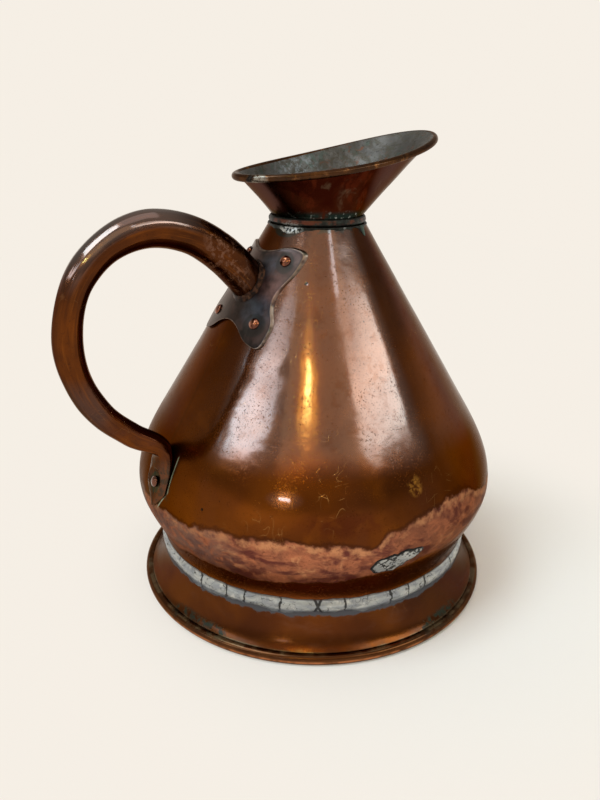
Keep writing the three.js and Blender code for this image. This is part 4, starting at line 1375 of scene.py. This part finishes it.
# A rivet's head starts a little inside its sheet and is hammered flatter above its crown. Its
# tail has a bevelled edge.
RIVET_SUNK = 0.35
RIVET_CROWN = 1.6
RIVET_BEVEL = 0.6


def make_rivet(name, turn, height, sheet, material, seed):
    place, normal = on_body(turn, height)
    base = GAP + sheet - RIVET_SUNK
    angles = np.radians(np.linspace(8, 86, 12))
    dome = np.stack(
        [RIVET_HEAD_RADIUS * np.cos(angles), base + (RIVET_HEAD_HEIGHT + 0.2) * np.sin(angles)], 1
    )
    top = -BODY_WALL - GAP
    bottom = top - RIVET_TAIL_HEIGHT
    tail = [(0.3, bottom), (RIVET_TAIL_RADIUS - RIVET_BEVEL, bottom)]
    tail += [(RIVET_TAIL_RADIUS, bottom + RIVET_BEVEL), (RIVET_TAIL_RADIUS, top)]
    tail += [(RIVET_SHANK_RADIUS, top)]
    seat = [(RIVET_SHANK_RADIUS, base), (RIVET_HEAD_RADIUS - 0.3, base)]
    local = turned(np.concatenate([tail, seat, dome]), 40)
    wobble = 0.14 * ripple(local + seed * 11, 3.0, 22)
    local = push_out(local, wobble * (local[..., 2] > base + 0.1))
    hammered = sunk(local + seed, 0.15, 2.2, 23)
    local[..., 2] -= np.where(local[..., 2] > base + RIVET_CROWN, hammered, 0)
    spin = Vector((0, 0, 1)).rotation_difference(Vector(normal)).to_matrix()
    rings = np.swapaxes(local @ np.array(spin).T + place, 0, 1)
    make_piece("visual_" + name, rings, name, [material], closed=False)


# Repair patch on the belly
PATCH_SHARES = (0.02, 0.15, 0.3, 0.45, 0.6, 0.72, 0.82, 0.9, 0.96, 1.0)
PATCH_BACK_SHARES = (1.0, 0.7, 0.3, 0.02)
PATCH_EDGE = 0.12
PATCH_BACK = 0.02


def patch_edge(angle):
    """How far the patch reaches at each angle: an oval with an uneven edge."""
    oval = 1 / np.hypot(np.cos(angle) / (PATCH_LENGTH / 2), np.sin(angle) / (PATCH_WIDTH / 2))
    oval *= 1 + 0.09 * np.sin(3 * angle + 0.6) + 0.06 * np.sin(7 * angle + 2.1)
    oval *= 1 + 0.03 * np.sin(13 * angle)
    notch = 0.1 * np.cos(angle) * np.abs(np.sin(2 * angle))
    return oval * np.where(np.cos(angle) > 0, 1 - notch, 1)


def make_patch(material):
    """A wiped blob of solder, with a fuller end towards the handle."""
    angle = round_turns(160)
    oval = patch_edge(angle)
    share = np.array(PATCH_SHARES + PATCH_BACK_SHARES)[:, None]
    front = np.arange(len(share))[:, None] < len(PATCH_SHARES)
    lift = np.where(front, PATCH_THICKNESS * (1 - share**5) + PATCH_EDGE, PATCH_BACK)
    along, aside = oval * share * np.cos(angle), oval * share * np.sin(angle)
    tilt = math.radians(PATCH_TILT)
    side = along * math.cos(tilt) - aside * math.sin(tilt)
    turn = math.radians(PATCH_TURN) + side / radius_at(PATCH_HEIGHT)
    height = PATCH_HEIGHT + (along * math.sin(tilt) + aside * math.cos(tilt))
    rings = around_axis(radius_at(height) + lift, turn, height)
    edges = oval * (1 - share)
    lumps = 0.3 * ripple(rings, 4, 24) + 0.15 * ripple(rings, 1.8, 25)
    lumps *= smooth_step(edges, 0.2, 2.0) * front
    rings = push_out(rings, np.maximum(lumps, -0.6) - body_sink(rings))
    piece = make_piece("visual_patch", rings, "belly_patch", [material], closed=False)
    store(piece, "edge", edges)


def dress_wires(material):
    for node in ("foot_wire", "rim_wire"):
        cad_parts[node].data.materials.clear()
        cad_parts[node].data.materials.append(material)


# Surroundings
CREAM = (0.92, 0.862, 0.784, 1.0)
PAPER = (0.965, 0.938, 0.915, 1.0)
ROOM = (0.41, 0.38, 0.335, 1.0)
FLOOR_HALF = 1.6
FLOOR_CENTRE = (0.1, -0.05, 0.0)
FADE_START = 0.105
FADE_END = 0.3
FADE_MOST = 0.97
ROOM_FROM = 9
ROOM_FULL = 20
LAMP_TARGET = 0.19
LAMP_DISTANCE = 12.0
LAMP_FADE = 0.5
LAMP_EDGE = 0.03
COOL = (0.82, 1.0, 1.14)
DAYLIGHT = (0.93, 1.0, 0.97)


def make_floor():
    """A pale floor that fades into the pale surroundings, so that no edge of it shows. The fade
    is for rays that show it: those from the camera, mirrored ones and those through glass."""
    material = bpy.data.materials.new("pale_floor")
    nodes = Nodes(material)
    place = nodes.add("TexCoord", output="Object")
    away = nodes.add("VectorMath", {0: place, 1: FLOOR_CENTRE}, "Value", operation="DISTANCE")
    fade = nodes.step(away, FADE_START, FADE_END, 0.0, FADE_MOST)
    camera, glossy, glass = (
        nodes.add("LightPath", output=f"Is {kind} Ray") for kind in ("Camera", "Glossy", "Transmission")
    )
    shown = nodes.math("ADD", camera + glossy, glass, use_clamp=True)
    paint = nodes.add("BsdfDiffuse", {"Color": PAPER})
    cream = nodes.add("Emission", {"Color": CREAM, "Strength": 1.0})
    nodes.end("Material", nodes.add("MixShader", {0: fade * shown, 1: paint, 2: cream}))
    mesh = bpy.data.meshes.new("floor")
    corners = [(x * FLOOR_HALF, y * FLOOR_HALF, 0) for x, y in ((-1, -1), (1, -1), (1, 1), (-1, 1))]
    mesh.from_pydata(corners, [], [(0, 1, 2, 3)])
    mesh.materials.append(material)
    put_in_scene("floor", mesh)


def make_world():
    """Pale surroundings up to a little above eye level, and a dimmer room above them."""
    world = bpy.data.worlds.new("studio")
    bpy.context.scene.world = world
    nodes = Nodes(world)
    height = nodes.add("SeparateXYZ", {0: nodes.add("TexCoord", output="Generated")}, 2)
    low, high = math.sin(math.radians(ROOM_FROM)), math.sin(math.radians(ROOM_FULL))
    colour = nodes.mix(nodes.step(height, low, high), CREAM, ROOM)
    nodes.end("World", nodes.add("Background", {"Color": colour, "Strength": 1.0}))


def shape_lamp(data, top, cuts):
    nodes = Nodes(data, empty=False)
    face = nodes.add("NewGeometry", output="Parametric")

    def fade(across, up, least, soft, *ends):
        inputs = {0: face, 1: (across, up, 0.0)}
        place = nodes.add("VectorMath", inputs, "Value", operation="DOT_PRODUCT")
        return nodes.step(place, least - soft, least + soft, *ends)

    glow = fade(0.0, 1.0, LAMP_FADE, LAMP_FADE, 1.0, top)
    for cut in cuts:
        glow = glow * fade(*cut, LAMP_EDGE)
    nodes.tree.links.new(glow.socket, nodes.tree.nodes["Emission"].inputs["Strength"])


def add_lamp(name, turn, rise, wide, tall, radiance, colour, top=1.0, cuts=()):
    """A far, soft rectangular lamp that faces the jug. All the angles are in degrees as seen
    from the jug. Radiance is how bright the lamp itself looks at its lower edge, where 1 is
    white paper, and top is the share of that at its upper edge. Each cut darkens the lamp where
    its first two numbers times the place across and up the lamp come below its third."""
    data = bpy.data.lights.new(name, "AREA")
    data.shape = "RECTANGLE"
    data.size = 2 * LAMP_DISTANCE * math.tan(math.radians(wide / 2))
    data.size_y = 2 * LAMP_DISTANCE * math.tan(math.radians(tall / 2))
    data.energy = radiance * math.pi * data.size * data.size_y
    data.color = colour
    if cuts or top != 1.0:
        shape_lamp(data, top, cuts)
    lamp = put_in_scene(name, data)
    a, e = math.radians(turn), math.radians(rise)
    way = Vector((math.cos(a) * math.cos(e), math.sin(a) * math.cos(e), math.sin(e)))
    lamp.location = Vector((AXIS_X * MM, 0, LAMP_TARGET)) + way * LAMP_DISTANCE
    lamp.rotation_euler = way.to_track_quat("Z", "Y").to_euler()
    lamp.visible_camera = False


def make_camera():
    forward = Vector(CAMERA_FORWARD).normalized()
    right = forward.cross(Vector((0, 0, 1))).normalized()
    up = right.cross(forward)
    c, s = math.cos(CAMERA_ROLL), math.sin(CAMERA_ROLL)
    data = bpy.data.cameras.new("camera")
    data.lens = LENS
    data.sensor_width = SENSOR
    camera = put_in_scene("camera", data)
    axes = Matrix((right * c - up * s, right * s + up * c, -forward)).transposed()
    camera.matrix_world = Matrix.Translation(CAMERA_PLACE) @ axes.to_4x4()
    bpy.context.scene.camera = camera


# The jug
foot_metal = foot_copper()
tin = tinning()
rivet_metal = rivet_copper()
neck_grime = neck_metal()

make_body(body_copper(), tin)
make_pan(foot_metal, tin)
make_foot(foot_metal)
make_foot_solder(wiped_solder())
make_neck_band(neck_grime)
make_neck_solder(neck_grime)
make_funnel(funnel_copper(), tin, rim_copper())
make_handle(handle_copper())
make_plate(plate_patina())
make_plate_solder(dark_joint())
make_patch(patch_solder())
for number, (rivet_turn, rivet_height) in enumerate(plate_rivets(), 1):
    rivet_name = f"plate_rivet_{number}"
    make_rivet(rivet_name, rivet_turn, rivet_height, PLATE_THICKNESS, rivet_metal, number)
make_rivet("leaf_rivet", 180, LEAF_RIVET_HEIGHT, LEAF_THICKNESS, rivet_metal, 5)
dress_wires(old_iron())

# The studio: two cut windows, a warm wall with two bulbs, and fill from above
make_floor()
make_world()
add_lamp(
    "window_right", -67, 37, 38, 26, 6.2, DAYLIGHT, top=0.1,
    cuts=((1.0, 0.0, 0.06), (1.69, 1.0, 0.64), (0.278, 1.0, 0.37), (-0.6, -1.0, -1.1)),
)
add_lamp("window_right_streak", -90, 50, 5, 6, 3.2, COOL)
add_lamp(
    "window_left", -176.5, 36.3, 38, 24, 6.8, COOL, top=0.16,
    cuts=((-1.0, 0.216, -0.65), (-0.889, 1.0, -0.2), (-0.365, 1.0, 0.05), (1.0, -0.63, -0.02)),
)
add_lamp(
    "window_left_pane", -176.5, 36.3, 38, 24, 3.6, COOL, top=0.3,
    cuts=((-0.889, 1.0, -0.2), (-0.365, 1.0, 0.08), (-1.0, 0.63, 0.07), (1.0, -0.63, -0.19)),
)
add_lamp("window_left_strip", 159, 29, 4, 10, 2.0, COOL)
add_lamp("warm_wall", -118, 47, 56, 22, 0.5, (1.0, 0.7, 0.38))
add_lamp("warm_spot", -133, 46.4, 8, 1.2, 1.8, (1.0, 0.6, 0.1))
add_lamp("warm_glow", -133, 41.6, 14, 5.2, 2.5, (1.0, 0.58, 0.07))
add_lamp("warm_bulb_low", -133, 41.3, 4.8, 1.0, 27, (0.88, 1.0, 0.35))
add_lamp("warm_bulb_high", -133, 42.6, 4.4, 0.9, 30, (0.85, 1.0, 0.4))
add_lamp("small_window", -144, 23, 6.5, 1.4, 20, COOL)
add_lamp("overhead_left", 172, 64, 24, 20, 6.6, (0.84, 1.0, 1.06))
add_lamp("overhead", 0, 86, 40, 40, 0.5, (1.0, 0.96, 0.98))
make_camera()
bpy.context.scene.view_settings.view_transform = "Standard"
